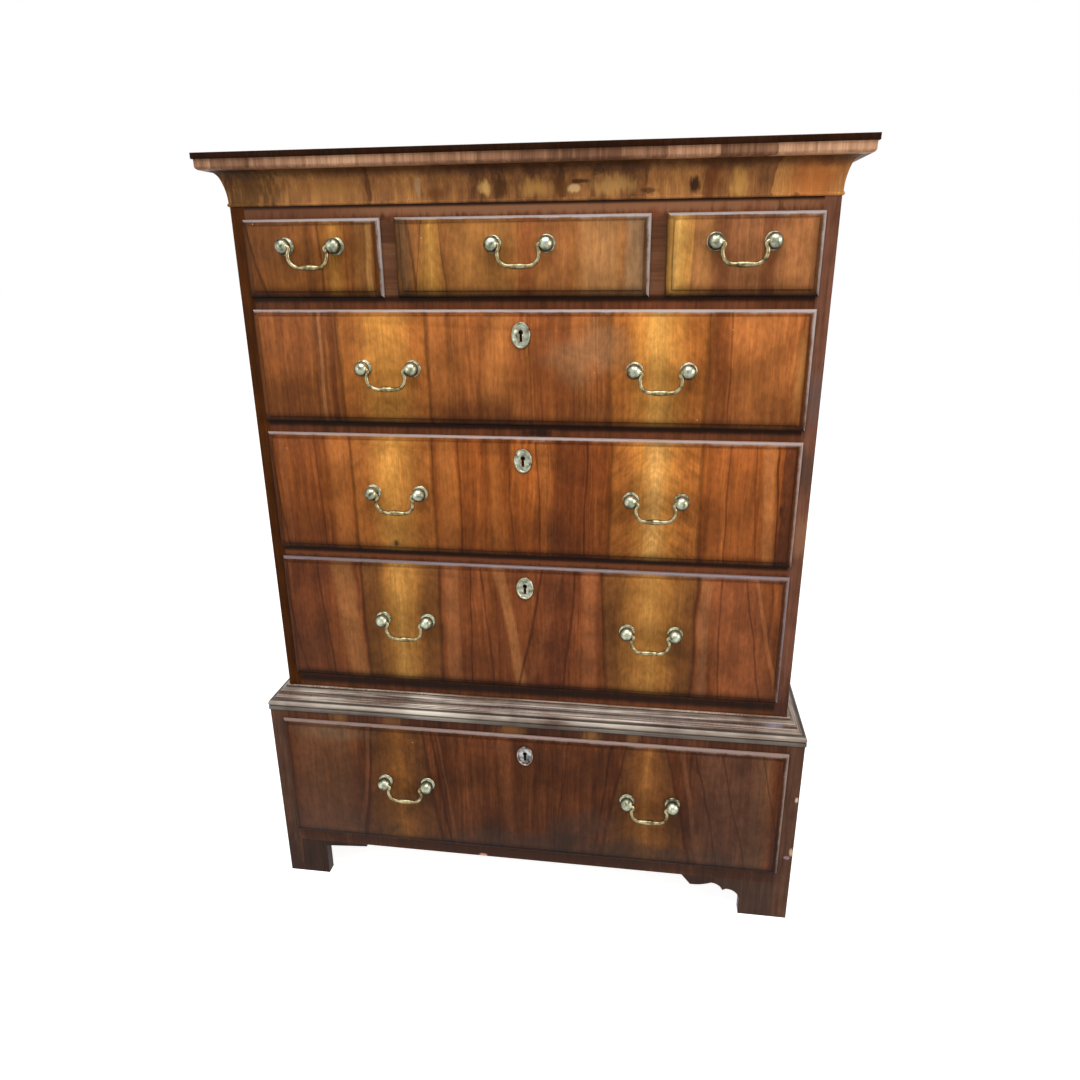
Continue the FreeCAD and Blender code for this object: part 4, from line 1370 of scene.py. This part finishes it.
@dataclass
class Studio:
    """The floor, the light and the camera, in metres, degrees and millimetres of film."""

    eye: Place = (0.2313, -1.6027, 1.2777)
    yaw: float = 8.378
    pitch: float = 19.307
    roll: float = -0.5416
    lens: float = 26.70
    film: float = 36.0
    sight: float = 200.0
    floor_side: float = 60.0
    floor_glow: float = 0.9
    paper: str = "#d2d2d2"
    sky: float = 0.36
    sky_colour: str = "#f3f6fb"
    panels: tuple[Panel, ...] = (
        Panel("panel_above", (0.1, -1.4, 3.4), (0.0, -0.2, 1.0), 2.8, 1.5, 92.0, "#f5f8ff"),
        Panel("panel_right", (3.0, -1.3, 1.5), (0.0, -0.2, 0.8), 1.3, 1.8, 52.0, "#fff9f0"),
        Panel("panel_left", (-2.4, -2.8, 1.7), (0.0, -0.2, 0.8), 1.6, 2.0, 24.0, "#fff9f0"),
    )

    def set_camera(self) -> None:
        """Stand the camera where the photograph was taken from."""
        yaw, pitch, roll = (math.radians(angle) for angle in (self.yaw, self.pitch, self.roll))
        ahead = Vector((-math.sin(yaw) * math.cos(pitch), math.cos(yaw) * math.cos(pitch), -math.sin(pitch)))
        level = Vector((math.cos(yaw), math.sin(yaw), 0))
        above = level.cross(ahead)
        right = level * math.cos(roll) + above * math.sin(roll)
        upright = above * math.cos(roll) - level * math.sin(roll)
        lens = bpy.data.cameras.new("photo_camera")
        lens.lens = self.lens
        lens.sensor_width = self.film
        lens.clip_end = self.sight
        camera = bpy.data.objects.new("photo_camera", lens)
        turn = Matrix((right, upright, -ahead)).transposed().to_4x4()
        camera.matrix_world = Matrix.Translation(self.eye) @ turn
        bpy.context.scene.collection.objects.link(camera)
        bpy.context.scene.camera = camera

    def shows_white(self, graph: Graph) -> Socket:
        """Tell the rays that show the white background from those that only carry light.

        Args:
            graph: the nodes of the floor or of the world.

        Returns:
            One for camera, glossy and transmission rays, else nought.
        """
        rays = graph.add("LightPath").node.outputs
        inputs = {0: rays["Is Glossy Ray"], 1: rays["Is Transmission Ray"]}
        mirrored = graph.add("Math", inputs, operation="MAXIMUM")
        return graph.add("Math", {0: rays["Is Camera Ray"], 1: mirrored}, operation="MAXIMUM")

    def lay_floor(self) -> None:
        """Lay a pale floor that looks white and keeps the shadow of the piece."""
        deselect()
        bpy.ops.mesh.primitive_plane_add(size=self.floor_side, location=(0, 0, 0))
        floor = bpy.context.object
        floor.name = "studio_floor"
        material = bpy.data.materials.new("matt_white_paper_floor")
        graph = Graph.bare(material)
        seen = self.shows_white(graph)
        paper = graph.add("BsdfDiffuse", {"Color": linear(self.paper)})
        bright = graph.add("Math", {0: seen, 1: self.floor_glow}, operation="MULTIPLY")
        glow = graph.add("Emission", {"Color": linear("#ffffff"), "Strength": bright})
        graph.add("OutputMaterial", {"Surface": graph.add("AddShader", {0: paper, 1: glow})})
        dress(floor, material)

    def light(self) -> None:
        """Light the piece with a soft sky, a large panel above and two at the sides."""
        world = bpy.data.worlds.new("studio_world")
        bpy.context.scene.world = world
        graph = Graph.bare(world)
        soft = graph.add("Background", {"Color": linear(self.sky_colour), "Strength": self.sky})
        white = graph.add("Background", {"Color": linear("#ffffff"), "Strength": 1.0})
        seen = self.shows_white(graph)
        both = graph.add("MixShader", {0: seen, 1: soft, 2: white})
        graph.add("OutputWorld", {"Surface": both})
        for panel in self.panels:
            panel.hang()


@dataclass
class Cases:
    """The cases of the chest and of the stand: plain CAD parts that get a finish, and new mouldings.

    The marks on them are placed in metres; the slab's height above the foot of its fascia is in millimetres.
    """

    frieze: Patch = Patch((0.0, -0.22, 1.357), (0.9, 0.05, 0.014), "#8a5f42", 0.8)
    gloom: Patch = Patch((-0.42, -0.22, 1.357), (0.22, 0.05, 0.03), "#583320", 0.7)
    rail_glow: Patch = Patch((0.0, -0.22, 0.745), (2.0, 0.04, 0.008), "#744126", 0.7)
    shadows: tuple[Patch, ...] = tuple(
        Patch((0.0, -0.22, height), (2.0, 0.04, half), "#1a0d07", 0.92, ragged=0.4)
        for height, half in ((1.365, 0.006), (1.216, 0.009), (0.9985, 0.009), (0.753, 0.009), (0.469, 0.016))
    )
    mottle: tuple[Patch, ...] = (
        Patch((0.495, -0.22, 1.06), (0.1, 0.05, 0.06), "#5d4e49", 0.55),
        Patch((0.495, -0.22, 0.93), (0.1, 0.05, 0.055), "#46342b", 0.7),
        Patch((0.495, -0.22, 0.81), (0.1, 0.05, 0.05), "#8f6448", 0.6),
    )
    # Painted shadow: the shadow under the lower drawer carried onto the right side's front edge
    toe_shadow: Patch = Patch((0.49, -0.22, 0.47), (0.1, 0.05, 0.05), "#3a1d16", 0.8)
    stain: Patch = Patch((0.027, -0.22, 0.988), (0.05, 0.02, 0.012), "#120a07", 0.85)
    chips: tuple[Patch, ...] = (
        Patch((0.529, -0.253, 0.288), (0.004, 0.006, 0.008), "#cdb79c", 0.9, 0.5),
        Patch((0.531, -0.253, 0.163), (0.006, 0.008, 0.012), "#c3a58a", 0.9, 0.5),
        Patch((0.522, -0.253, 0.150), (0.008, 0.008, 0.005), "#a2838a", 0.7, 0.5),
    )
    shade: Patch = Patch((-0.53, -0.253, 0.04), (0.06, 0.06, 0.13), "#33211a", 0.85)
    gold_bands: tuple[Patch, ...] = (
        Patch((-0.385, -0.253, 0.4), (0.025, 0.03, 0.06), "#7d5634", 0.7),
        Patch((-0.275, -0.253, 0.4), (0.03, 0.03, 0.06), "#7d5332", 0.6),
        Patch((-0.03, -0.253, 0.4), (0.04, 0.03, 0.06), "#86592f", 0.6),
        Patch((0.13, -0.253, 0.4), (0.025, 0.03, 0.06), "#8a6136", 0.7),
        Patch((0.21, -0.253, 0.4), (0.02, 0.03, 0.06), "#7d5634", 0.6),
    )
    # A darker band along the skirt
    skirt_dark_band: Patch = Patch((0.0, -0.253, 0.098), (0.9, 0.05, 0.022), "#37231a", 0.8)
    # The cove's figure and knots, with painted shade: a darker left end and a shadow under the fascia
    figure: tuple[Patch, ...] = (
        # Painted shade at the left end
        Patch((-0.46, -0.24, 1.39), (0.085, 0.2, 0.09), "#41260f", 0.8),
        Patch((-0.315, -0.24, 1.388), (0.07, 0.2, 0.024), "#b27c40", 0.6),
        Patch((-0.252, -0.24, 1.39), (0.006, 0.2, 0.06), "#452510", 0.7, 0.5),
        Patch((-0.168, -0.24, 1.392), (0.006, 0.2, 0.02), "#b99a74", 0.5, 0.5),
        Patch((-0.14, -0.24, 1.38), (0.03, 0.2, 0.015), "#5a3216", 0.6),
        Patch((-0.057, -0.24, 1.388), (0.012, 0.2, 0.016), "#dcae66", 0.8, 0.6),
        Patch((-0.033, -0.24, 1.388), (0.016, 0.2, 0.03), "#2f1a0d", 0.75, 0.6),
        Patch((0.025, -0.24, 1.386), (0.035, 0.2, 0.02), "#c08c4a", 0.7),
        Patch((0.068, -0.24, 1.392), (0.012, 0.2, 0.03), "#4a2911", 0.75, 0.6),
        Patch((0.09, -0.24, 1.384), (0.014, 0.2, 0.008), "#d9b078", 0.8, 0.6),
        Patch((0.1, -0.24, 1.394), (0.02, 0.2, 0.005), "#2f190c", 0.8, 0.6),
        Patch((0.15, -0.24, 1.388), (0.05, 0.2, 0.022), "#bf8f52", 0.7),
        Patch((0.205, -0.24, 1.379), (0.02, 0.2, 0.006), "#3a1f0f", 0.7, 0.6),
        Patch((0.278, -0.24, 1.386), (0.012, 0.2, 0.016), "#1c0e07", 0.9, 0.6),
        Patch((0.302, -0.24, 1.39), (0.02, 0.2, 0.05), "#643619", 0.7),
        Patch((0.345, -0.24, 1.388), (0.02, 0.2, 0.03), "#cb964f", 0.7),
        Patch((0.455, -0.24, 1.39), (0.05, 0.2, 0.07), "#b0622d", 0.65),
        # Painted shadow under the fascia
        Patch((0.0, -0.26, 1.421), (3.0, 0.2, 0.021), "#27140a", 0.8, ragged=0.3),
    )
    skirt_chip: Patch = Patch((-0.094, -0.253, 0.087), (0.012, 0.012, 0.006), "#d2a184", 0.95, 0.5)
    slab_from: float = 16.2

    def dress_nodes(self) -> list[bpy.types.Object]:
        """Give every CAD node that stays its material.

        Returns:
            The dressed nodes.
        """
        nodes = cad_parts
        finishes = {
            CrossBanding(
                "cross_banded_walnut_rail", Grain.Z, "#7c462a", "#62361f", "#442412", 210, 0.2, 0.08,
                patches=(self.frieze, self.gloom, self.rail_glow, *self.shadows, self.stain),
            ): ["chest_front_rails"],
            CrossBanding(
                "cross_banded_walnut_muntin", Grain.X, "#6f4930", "#5b3924", "#452818", 40, 0.3
            ): ["short_drawer_muntins"],
            # The left side is painted darker as shade, and the right side lighter as painted light from the
            # right
            CrossBanding(
                "walnut_side_veneer", Grain.Z, "#643615", "#4d280d", "#361b09", 260, 0.2, 0.08, polish=0.02
            ): ["chest_side_left"],
            CrossBanding(
                "sunned_walnut_side_veneer", Grain.Z, "#8a5a44", "#6f4736", "#50301f", 260, 0.2, 0.1,
                patches=(*self.mottle, self.toe_shadow),
            ): ["chest_side_right"],
            CrossBanding(
                "walnut_stand_veneer", Grain.Z, "#755240", "#5a3c2c", "#3f281c", 200, 0.2, 0.1,
                patches=(*self.chips, self.shade),
            ): ["stand_side_left", "stand_side_right"],
            CrossBanding(
                "cross_banded_stand_rail", Grain.Z, "#6b432b", "#4f2d1c", "#341b10", 130, 0.2, 0.1,
                patches=(*self.gold_bands, self.skirt_dark_band, self.skirt_chip),
            ): ["stand_front_rails"],
            # The left foot's veneer is a painted-shade copy of the right foot's
            CrossBanding(
                "shaded_walnut_foot_veneer", Grain.Z, "#40291f", "#332119", "#241711", 70, 0.25
            ): ["front_foot_left"],
            CrossBanding(
                "walnut_foot_veneer", Grain.Z, "#4d372b", "#3c2920", "#2c1e17", 70, 0.25
            ): ["front_foot_right"],
            PlanedTimber("planed_oak_lining", Grain.Y, "#b08a5c", "#7d5a36"): [
                name for name in nodes if name.endswith("_drawer_box")
            ],
            PlanedTimber("planed_pine_boards", Grain.X, "#a37a4c", "#6a472a"): [
                "chest_top_board", "chest_bottom_board", "chest_dustboards_and_guides", "chest_back_boards",
                "stand_back_board", "stand_top_board", "stand_drawer_runners",
            ],
            PlanedTimber("pine_foot_blocks", Grain.Z, "#8d6a44", "#573b24"): ["rear_feet_and_blocks"],
            CastMetal("dark_lock_iron", "#5f5850", "#423b35", "#241c17", 0.4, 0.6): [
                name for name in nodes if name.endswith(("_lock", "_lock_bolt"))
            ],
        }
        dressed = []
        for finish, names in finishes.items():
            material = finish.material()
            for name in names:
                dress(nodes[name], material)
                dressed.append(nodes[name])
        return dressed

    def build_mouldings(self) -> list[bpy.types.Object]:
        """Model and dress the waist moulding and the two parts of the cornice.

        Returns:
            The three mouldings.
        """
        waist = Moulding(
            "waist_moulding_run", "waist_moulding", "stand",
            [
                (0.5, 0.0), (35.0, 0.0), (35.0, 8.0), (33.5, 8.0), (31.5, 20.5, 8.5), (28.5, 20.5),
                (17.5, 31.0, -19.0), (6.0, 39.5, 17.0), (6.0, 42.5), (0.5, 42.5),
            ],
            44.0,
        )
        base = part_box("waist_moulding")[0].z
        # A painted reflection of the sky on the waist's wax
        sky_reflection = Patch((0.475, -0.28, base + 0.031), (0.032, 0.1, 0.008), "#9d9aad", 0.55)
        waist_run = waist.build()
        dress(waist_run, RubbedAndLitMoulding("rubbed_walnut_waist", base, sky_reflection).material())
        cove = Moulding(
            "cornice_cove_run", "cornice_cove", "chest",
            [
                (0.0, 0.0), (1.2, 0.0), (1.2, 6.0, 3.4), (1.2, 7.5), (7.8, 43.0, -106.0), (20.0, 55.0, -20.0),
                (0.0, 55.0),
            ],
            36.0, 0.3,
        )
        # The cove's colours are lighter than the wood, as painted light in place of what the overhang keeps
        # off
        banding = CrossBanding(
            "cross_banded_cornice_cove", Grain.Z, "#c78b4c", "#986539", "#5e3a22", 90, 0.3, 0.16, knots=0.6,
            figure=14, patches=self.figure,
        )
        cove_run = cove.build()
        dress(cove_run, banding.material())
        fascia = Moulding(
            "cornice_fascia_run", "cornice_fascia", "chest",
            [
                (0.0, 0.0), (29.5, 0.0), (35.5, 6.0, 6.0), (35.5, 16.5), (38.5, 16.5), (38.5, 26.0),
                (0.0, 26.0),
            ],
            39.0,
        )
        face = CrossBanding(
            "cross_banded_cornice_fascia", Grain.Z, "#bf9472", "#946b4f", "#62422f", 75, 0.4, 0.14
        )
        slab = CrossBanding(
            "dark_cornice_slab", Grain.Z, "#351d10", "#29150a", "#190c05", 160, 0.2, polish=0.015
        )
        fascia_run = fascia.build()
        dress(fascia_run, face.material(), slab.material())
        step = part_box("cornice_fascia")[0].z + self.slab_from * MM
        for polygon in fascia_run.data.polygons:
            polygon.material_index = int(polygon.center.z > step)
        return [waist_run, cove_run, fascia_run]


@dataclass
class Drawers:
    """The seven drawers: their fronts, brasses and bails, with sizes in millimetres."""

    handle: Handle = field(default_factory=Handle)
    escutcheon: Escutcheon = field(default_factory=Escutcheon)
    key_depth: float = 18.0
    plate_sunk: float = 1.1
    ring_sunk: float = 2.0
    plate_soft: float = 0.25
    plate_sharp: float = 50.0

    def veneer(self, berth: Berth) -> FiguredVeneer:
        """The figure of one drawer's veneer.

        Args:
            berth: the drawer's place.

        Returns:
            Its finish, with each streak set where the eye finds it.
        """
        name = berth.value
        low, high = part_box(f"{name}_drawer_front")
        edges = (low.x, high.x, low.z, high.z)
        title = f"figured_walnut_{name}"
        y = low.y
        match berth:
            case Berth.UPPER:
                return FiguredVeneer(
                    title, edges,
                    (Band(-0.245, 0.081, bright="#bd8038"), Band(0.232, 0.081, bright="#cd9549")),
                    (
                        Strip(-0.357, 0.004, "#c08050", 0.5), Strip(-0.338, 0.007, "#552810", 0.6),
                        Strip(-0.145, 0.016, "#a9652f", 0.6), Strip(-0.045, 0.025, "#b06c36", 0.5, 0.1),
                        Strip(0.05, 0.045, "#74391a", 0.45), Strip(0.335, 0.012, "#7a3f1c", 0.5),
                        Strip(0.40, 0.05, "#ad6834", 0.5), Strip(0.013, 0.002, "#5a2a14", 0.5),
                        Strip(0.127, 0.002, "#5a2a14", 0.5), Strip(0.349, 0.002, "#63301a", 0.6),
                        Strip(-0.43, 0.002, "#63301a", 0.4), Strip(-0.42, 0.06, "#7a4422", 0.4),
                    ),
                    (
                        # The first mark is a painted reflection: a pale haze of sheen on the wax
                        Patch((0.115, y, 1.13), (0.095, 1, 0.075), "#ad8058", 0.42),
                        Patch((0.462, y, 1.09), (0.012, 1, 0.08), "#c08a4a", 0.5),
                        Patch((-0.08, y, 1.015), (0.11, 1, 0.04), "#5f2d14", 0.5),
                    ),
                    light="#ad6a33", ground="#8c5026", deep="#67361b", foot=0.73, head=1.03,
                )
            case Berth.MIDDLE:
                return FiguredVeneer(
                    title, edges, (Band(-0.245, 0.079), Band(0.234, 0.081, bright="#d49c54", gleam=0.2)),
                    (
                        Strip(-0.425, 0.05, "#63341b", 0.45), Strip(-0.455, 0.006, "#9a5c34", 0.4),
                        Strip(-0.346, 0.02, "#ad6730", 0.75), Strip(-0.14, 0.02, "#ab6730", 0.65),
                        Strip(-0.05, 0.012, "#a5622d", 0.5, -0.05),
                        Strip(0.045, 0.018, "#9a5a2a", 0.55, -0.08),
                        Strip(0.085, 0.05, "#542813", 0.75), Strip(0.132, 0.018, "#6e381a", 0.5),
                        Strip(0.37, 0.05, "#9c5a2c", 0.4), Strip(0.432, 0.013, "#b5723e", 0.6, -0.05),
                        Strip(0.463, 0.014, "#48261a", 0.7), Strip(-0.47, 0.002, "#3f200f", 0.6, -0.08),
                        Strip(-0.385, 0.002, "#4a2412", 0.5), Strip(-0.118, 0.002, "#52290f", 0.6),
                        Strip(-0.022, 0.002, "#5a2d14", 0.5, -0.06),
                        Strip(0.026, 0.002, "#4a2412", 0.6, -0.06),
                        Strip(0.112, 0.002, "#3a1a0c", 0.6), Strip(0.36, 0.002, "#5a2d16", 0.6),
                        Strip(0.41, 0.002, "#5a2d16", 0.5, -0.06), Strip(0.447, 0.002, "#3a1a0c", 0.6, -0.06),
                    ),
                    (
                        Patch((-0.245, y, 0.774), (0.006, 1, 0.009), "#1d0f08", 0.8),
                        Patch((0.452, y, 0.862), (0.005, 1, 0.018), "#1f1210", 0.7),
                    ),
                    foot=0.76, head=0.97, wear_and_sheen="#9a8981",
                )
            case Berth.LOWER:
                tones = {"gold": "#a56d32", "amber": "#744722", "edge": "#341c0d"}
                return FiguredVeneer(
                    title, edges,
                    (
                        Band(-0.243, 0.078, 0.03, "#d0964a", **tones),
                        Band(0.234, 0.083, 0.03, "#bb8340", **tones),
                    ),
                    (
                        Strip(-0.43, 0.045, "#5b301d", 0.5), Strip(-0.35, 0.024, "#a1683a", 0.75, -0.1),
                        Strip(-0.142, 0.018, "#9a6038", 0.65), Strip(-0.03, 0.013, "#ad6f40", 0.7, -0.17),
                        Strip(0.055, 0.045, "#592c1a", 0.6, 0.1), Strip(0.035, 0.01, "#7f4a2a", 0.4, 0.24),
                        Strip(0.122, 0.018, "#9c5c35", 0.7), Strip(0.333, 0.012, "#9a653e", 0.6),
                        Strip(0.40, 0.06, "#8f5231", 0.5, -0.15), Strip(-0.466, 0.002, "#40200f", 0.6, -0.12),
                        Strip(-0.40, 0.003, "#40200f", 0.6, -0.08),
                        Strip(-0.105, 0.002, "#4a2514", 0.6, 0.03),
                        Strip(-0.075, 0.002, "#4a2514", 0.5, -0.06), Strip(0.01, 0.003, "#3a1a0e", 0.6, 0.2),
                        Strip(0.082, 0.003, "#3a1a0e", 0.6, 0.1), Strip(0.362, 0.002, "#4f2816", 0.6, -0.03),
                        Strip(0.425, 0.002, "#4f2816", 0.6, -0.16), Strip(0.45, 0.004, "#a8683f", 0.5, -0.2),
                    ),
                    light="#95552b", ground="#7b4322", deep="#5a2c19", wear_and_sheen="#7a6d6e",
                )
            case Berth.STAND:
                tones = {"gold": "#764822", "amber": "#5c371c", "edge": "#33180c", "gleam": 0.12}
                return FiguredVeneer(
                    title, edges,
                    (
                        Band(-0.262, 0.068, -0.12, "#8b5826", **tones),
                        Band(0.241, 0.066, -0.2, "#905d2e", **tones),
                    ),
                    (
                        Strip(-0.42, 0.075, "#7d5033", 0.6), Strip(-0.338, 0.006, "#7a4a30", 0.6, 0.13),
                        Strip(-0.035, 0.012, "#6d3f25", 0.5, -0.06),
                        Strip(0.33, 0.006, "#7a4d34", 0.5, -0.18),
                        Strip(0.46, 0.022, "#6a4930", 0.5), Strip(0.40, 0.08, "#5c4133", 0.45),
                        Strip(-0.305, 0.003, "#2a1309", 0.6, 0.17),
                        Strip(-0.178, 0.003, "#2f160b", 0.6, -0.12),
                        Strip(-0.165, 0.003, "#75482e", 0.4, -0.12),
                        Strip(0.07, 0.002, "#361a0d", 0.5, 0.12), Strip(0.155, 0.003, "#2f160b", 0.6, 0.14),
                        Strip(0.36, 0.002, "#2f160b", 0.5, -0.2), Strip(0.41, 0.002, "#332014", 0.5, -0.22),
                        Strip(0.485, 0.002, "#332014", 0.5, -0.2),
                    ),
                    (
                        # The first mark is a painted reflection: a greyish haze of sheen on the wax
                        Patch((-0.4, y, 0.37), (0.1, 1, 0.03), "#7a6048", 0.5),
                        Patch((0.12, y, 0.19), (0.1, 1, 0.05), "#553c30", 0.5),
                        Patch((0.1, y, 0.14), (0.5, 1, 0.035), "#43342b", 0.5),
                    ),
                    light="#6d3f22", ground="#582f18", deep="#3f1f0f", foot=0.8, head=0.92, wear_and_sheen="#8c766c",
                )
            case Berth.SHORT_LEFT:
                return FiguredVeneer(
                    title, edges, (Band(-0.322, 0.024, 0.0, "#a87232", "#96622b", "#855222", "#5a3518"),),
                    (
                        Strip(-0.46, 0.004, "#3f2210", 0.6, -0.25), Strip(-0.395, 0.03, "#8f5729", 0.5),
                        Strip(-0.27, 0.016, "#6f4a24", 0.6), Strip(-0.255, 0.006, "#a67c46", 0.5),
                    ),
                    light="#8b5328", ground="#75451f", deep="#593115", foot=0.9, head=0.84,
                )
            case Berth.SHORT_MIDDLE:
                return FiguredVeneer(
                    title, edges, (Band(-0.15, 0.022, -0.1, "#c48c42", "#b27a36", "#a06a30", "#5a3818"),),
                    (
                        Strip(-0.198, 0.014, "#6b4a2c", 0.8), Strip(-0.183, 0.003, "#4a2c14", 0.6, -0.12),
                        Strip(-0.06, 0.06, "#a97238", 0.6), Strip(0.01, 0.018, "#844726", 0.6),
                        Strip(0.06, 0.03, "#a96a3c", 0.5), Strip(0.13, 0.04, "#b3804f", 0.6),
                        Strip(0.185, 0.02, "#8f7050", 0.7),
                    ),
                    light="#a96e36", ground="#965d2e", deep="#7e4b28", foot=0.9, head=0.84,
                )
        # What is left is the right-hand short drawer
        return FiguredVeneer(
            title, edges, (Band(0.253, 0.026, 0.0, "#e0aa5c", "#cf964a", "#c08542", "#9a6632"),),
            (
                Strip(0.295, 0.02, "#b57a42", 0.6), Strip(0.325, 0.018, "#8a5230", 0.5),
                Strip(0.398, 0.014, "#6f3f24", 0.65), Strip(0.445, 0.03, "#a86c3c", 0.5),
            ),
            light="#a36c40", ground="#8d5935", deep="#74452b", foot=0.9, head=0.84,
        )

    def build(self) -> list[bpy.types.Object]:
        """Model and dress every drawer's front and brasses.

        Returns:
            The fronts, the bails and the fixed brasses.
        """
        core = PlanedTimber("planed_oak_core", Grain.X, "#a37e54", "#75532f").material()
        # The brasses get their undersides painted darker as shade, all but the lock steel
        cast = CastMetal("aged_cast_brass", "#ab9f7c", "#7e714f", "#3c2f1a", 0.28, 0.42, 0.55)
        worn = CastMetal("worn_pommel_brass", "#b7bba4", "#8b8e77", "#443f2d", 0.28, 0.42, 0.62)
        pale = CastMetal("pale_key_plate_brass", "#b2b4a2", "#8e8f7b", "#4a4433", grime_and_shade=0.4)
        rubbed = CastMetal("worn_ring_brass", "#b09d94", "#84736b", "#33281f", grime_and_shade=0.4)
        steel = CastMetal("rubbed_lock_steel", "#a2a3a1", "#6b6c6a", "#2b2926", 0.2, 0.35)
        bail, post = self.handle.make_bail(), self.handle.make_post()
        cutter = self.escutcheon.make_keyhole(self.key_depth)
        plate, ring = self.escutcheon.build(self.plate_sunk), self.escutcheon.build(self.ring_sunk)
        for piece in (plate, ring):
            carve(piece, cutter)
            soften(piece, self.plate_soft, self.plate_sharp)
        dress(bail, cast.material())
        dress(post, worn.material())
        dress(plate, pale.material())
        dress(ring, rubbed.material(), steel.material())
        inner = (self.escutcheon.width / 2 - self.escutcheon.rim) * MM
        squash = self.escutcheon.width / self.escutcheon.height
        for face in ring.data.polygons:
            spot = Vector((face.center.x, face.center.z * squash))
            face.material_index = int(spot.length < inner and face.normal.y < -0.5)
        pieces = []
        for berth in Berth:
            drawer = DrawerDress(berth.value, ("left_", "right_") if berth.keyed else ("",))
            front = drawer.build_front(cutter if berth.keyed else None)
            drawer.dress_front(front, self.veneer(berth), core)
            lock_plate = ring if berth is Berth.STAND else plate
            brasses = drawer.hang_brasses(self.handle, bail, post, lock_plate if berth.keyed else None)
            pieces += [front, *brasses]
        for pattern in (bail, post, cutter, plate, ring):
            discard(pattern)
        return pieces


def main() -> None:
    """Build the classes in order and report each piece."""
    logging.basicConfig(level=logging.INFO, format="%(name)s: %(message)s")
    bpy.context.scene.view_settings.view_transform = "Standard"
    studio = Studio()
    studio.set_camera()
    studio.lay_floor()
    studio.light()
    cases = Cases()
    pieces = [*cases.dress_nodes(), *cases.build_mouldings(), *Drawers().build()]
    for piece in pieces:
        log.info("%s in %s", piece.name, ", ".join(material.name for material in piece.data.materials))


if __name__ == "__main__":
    main()
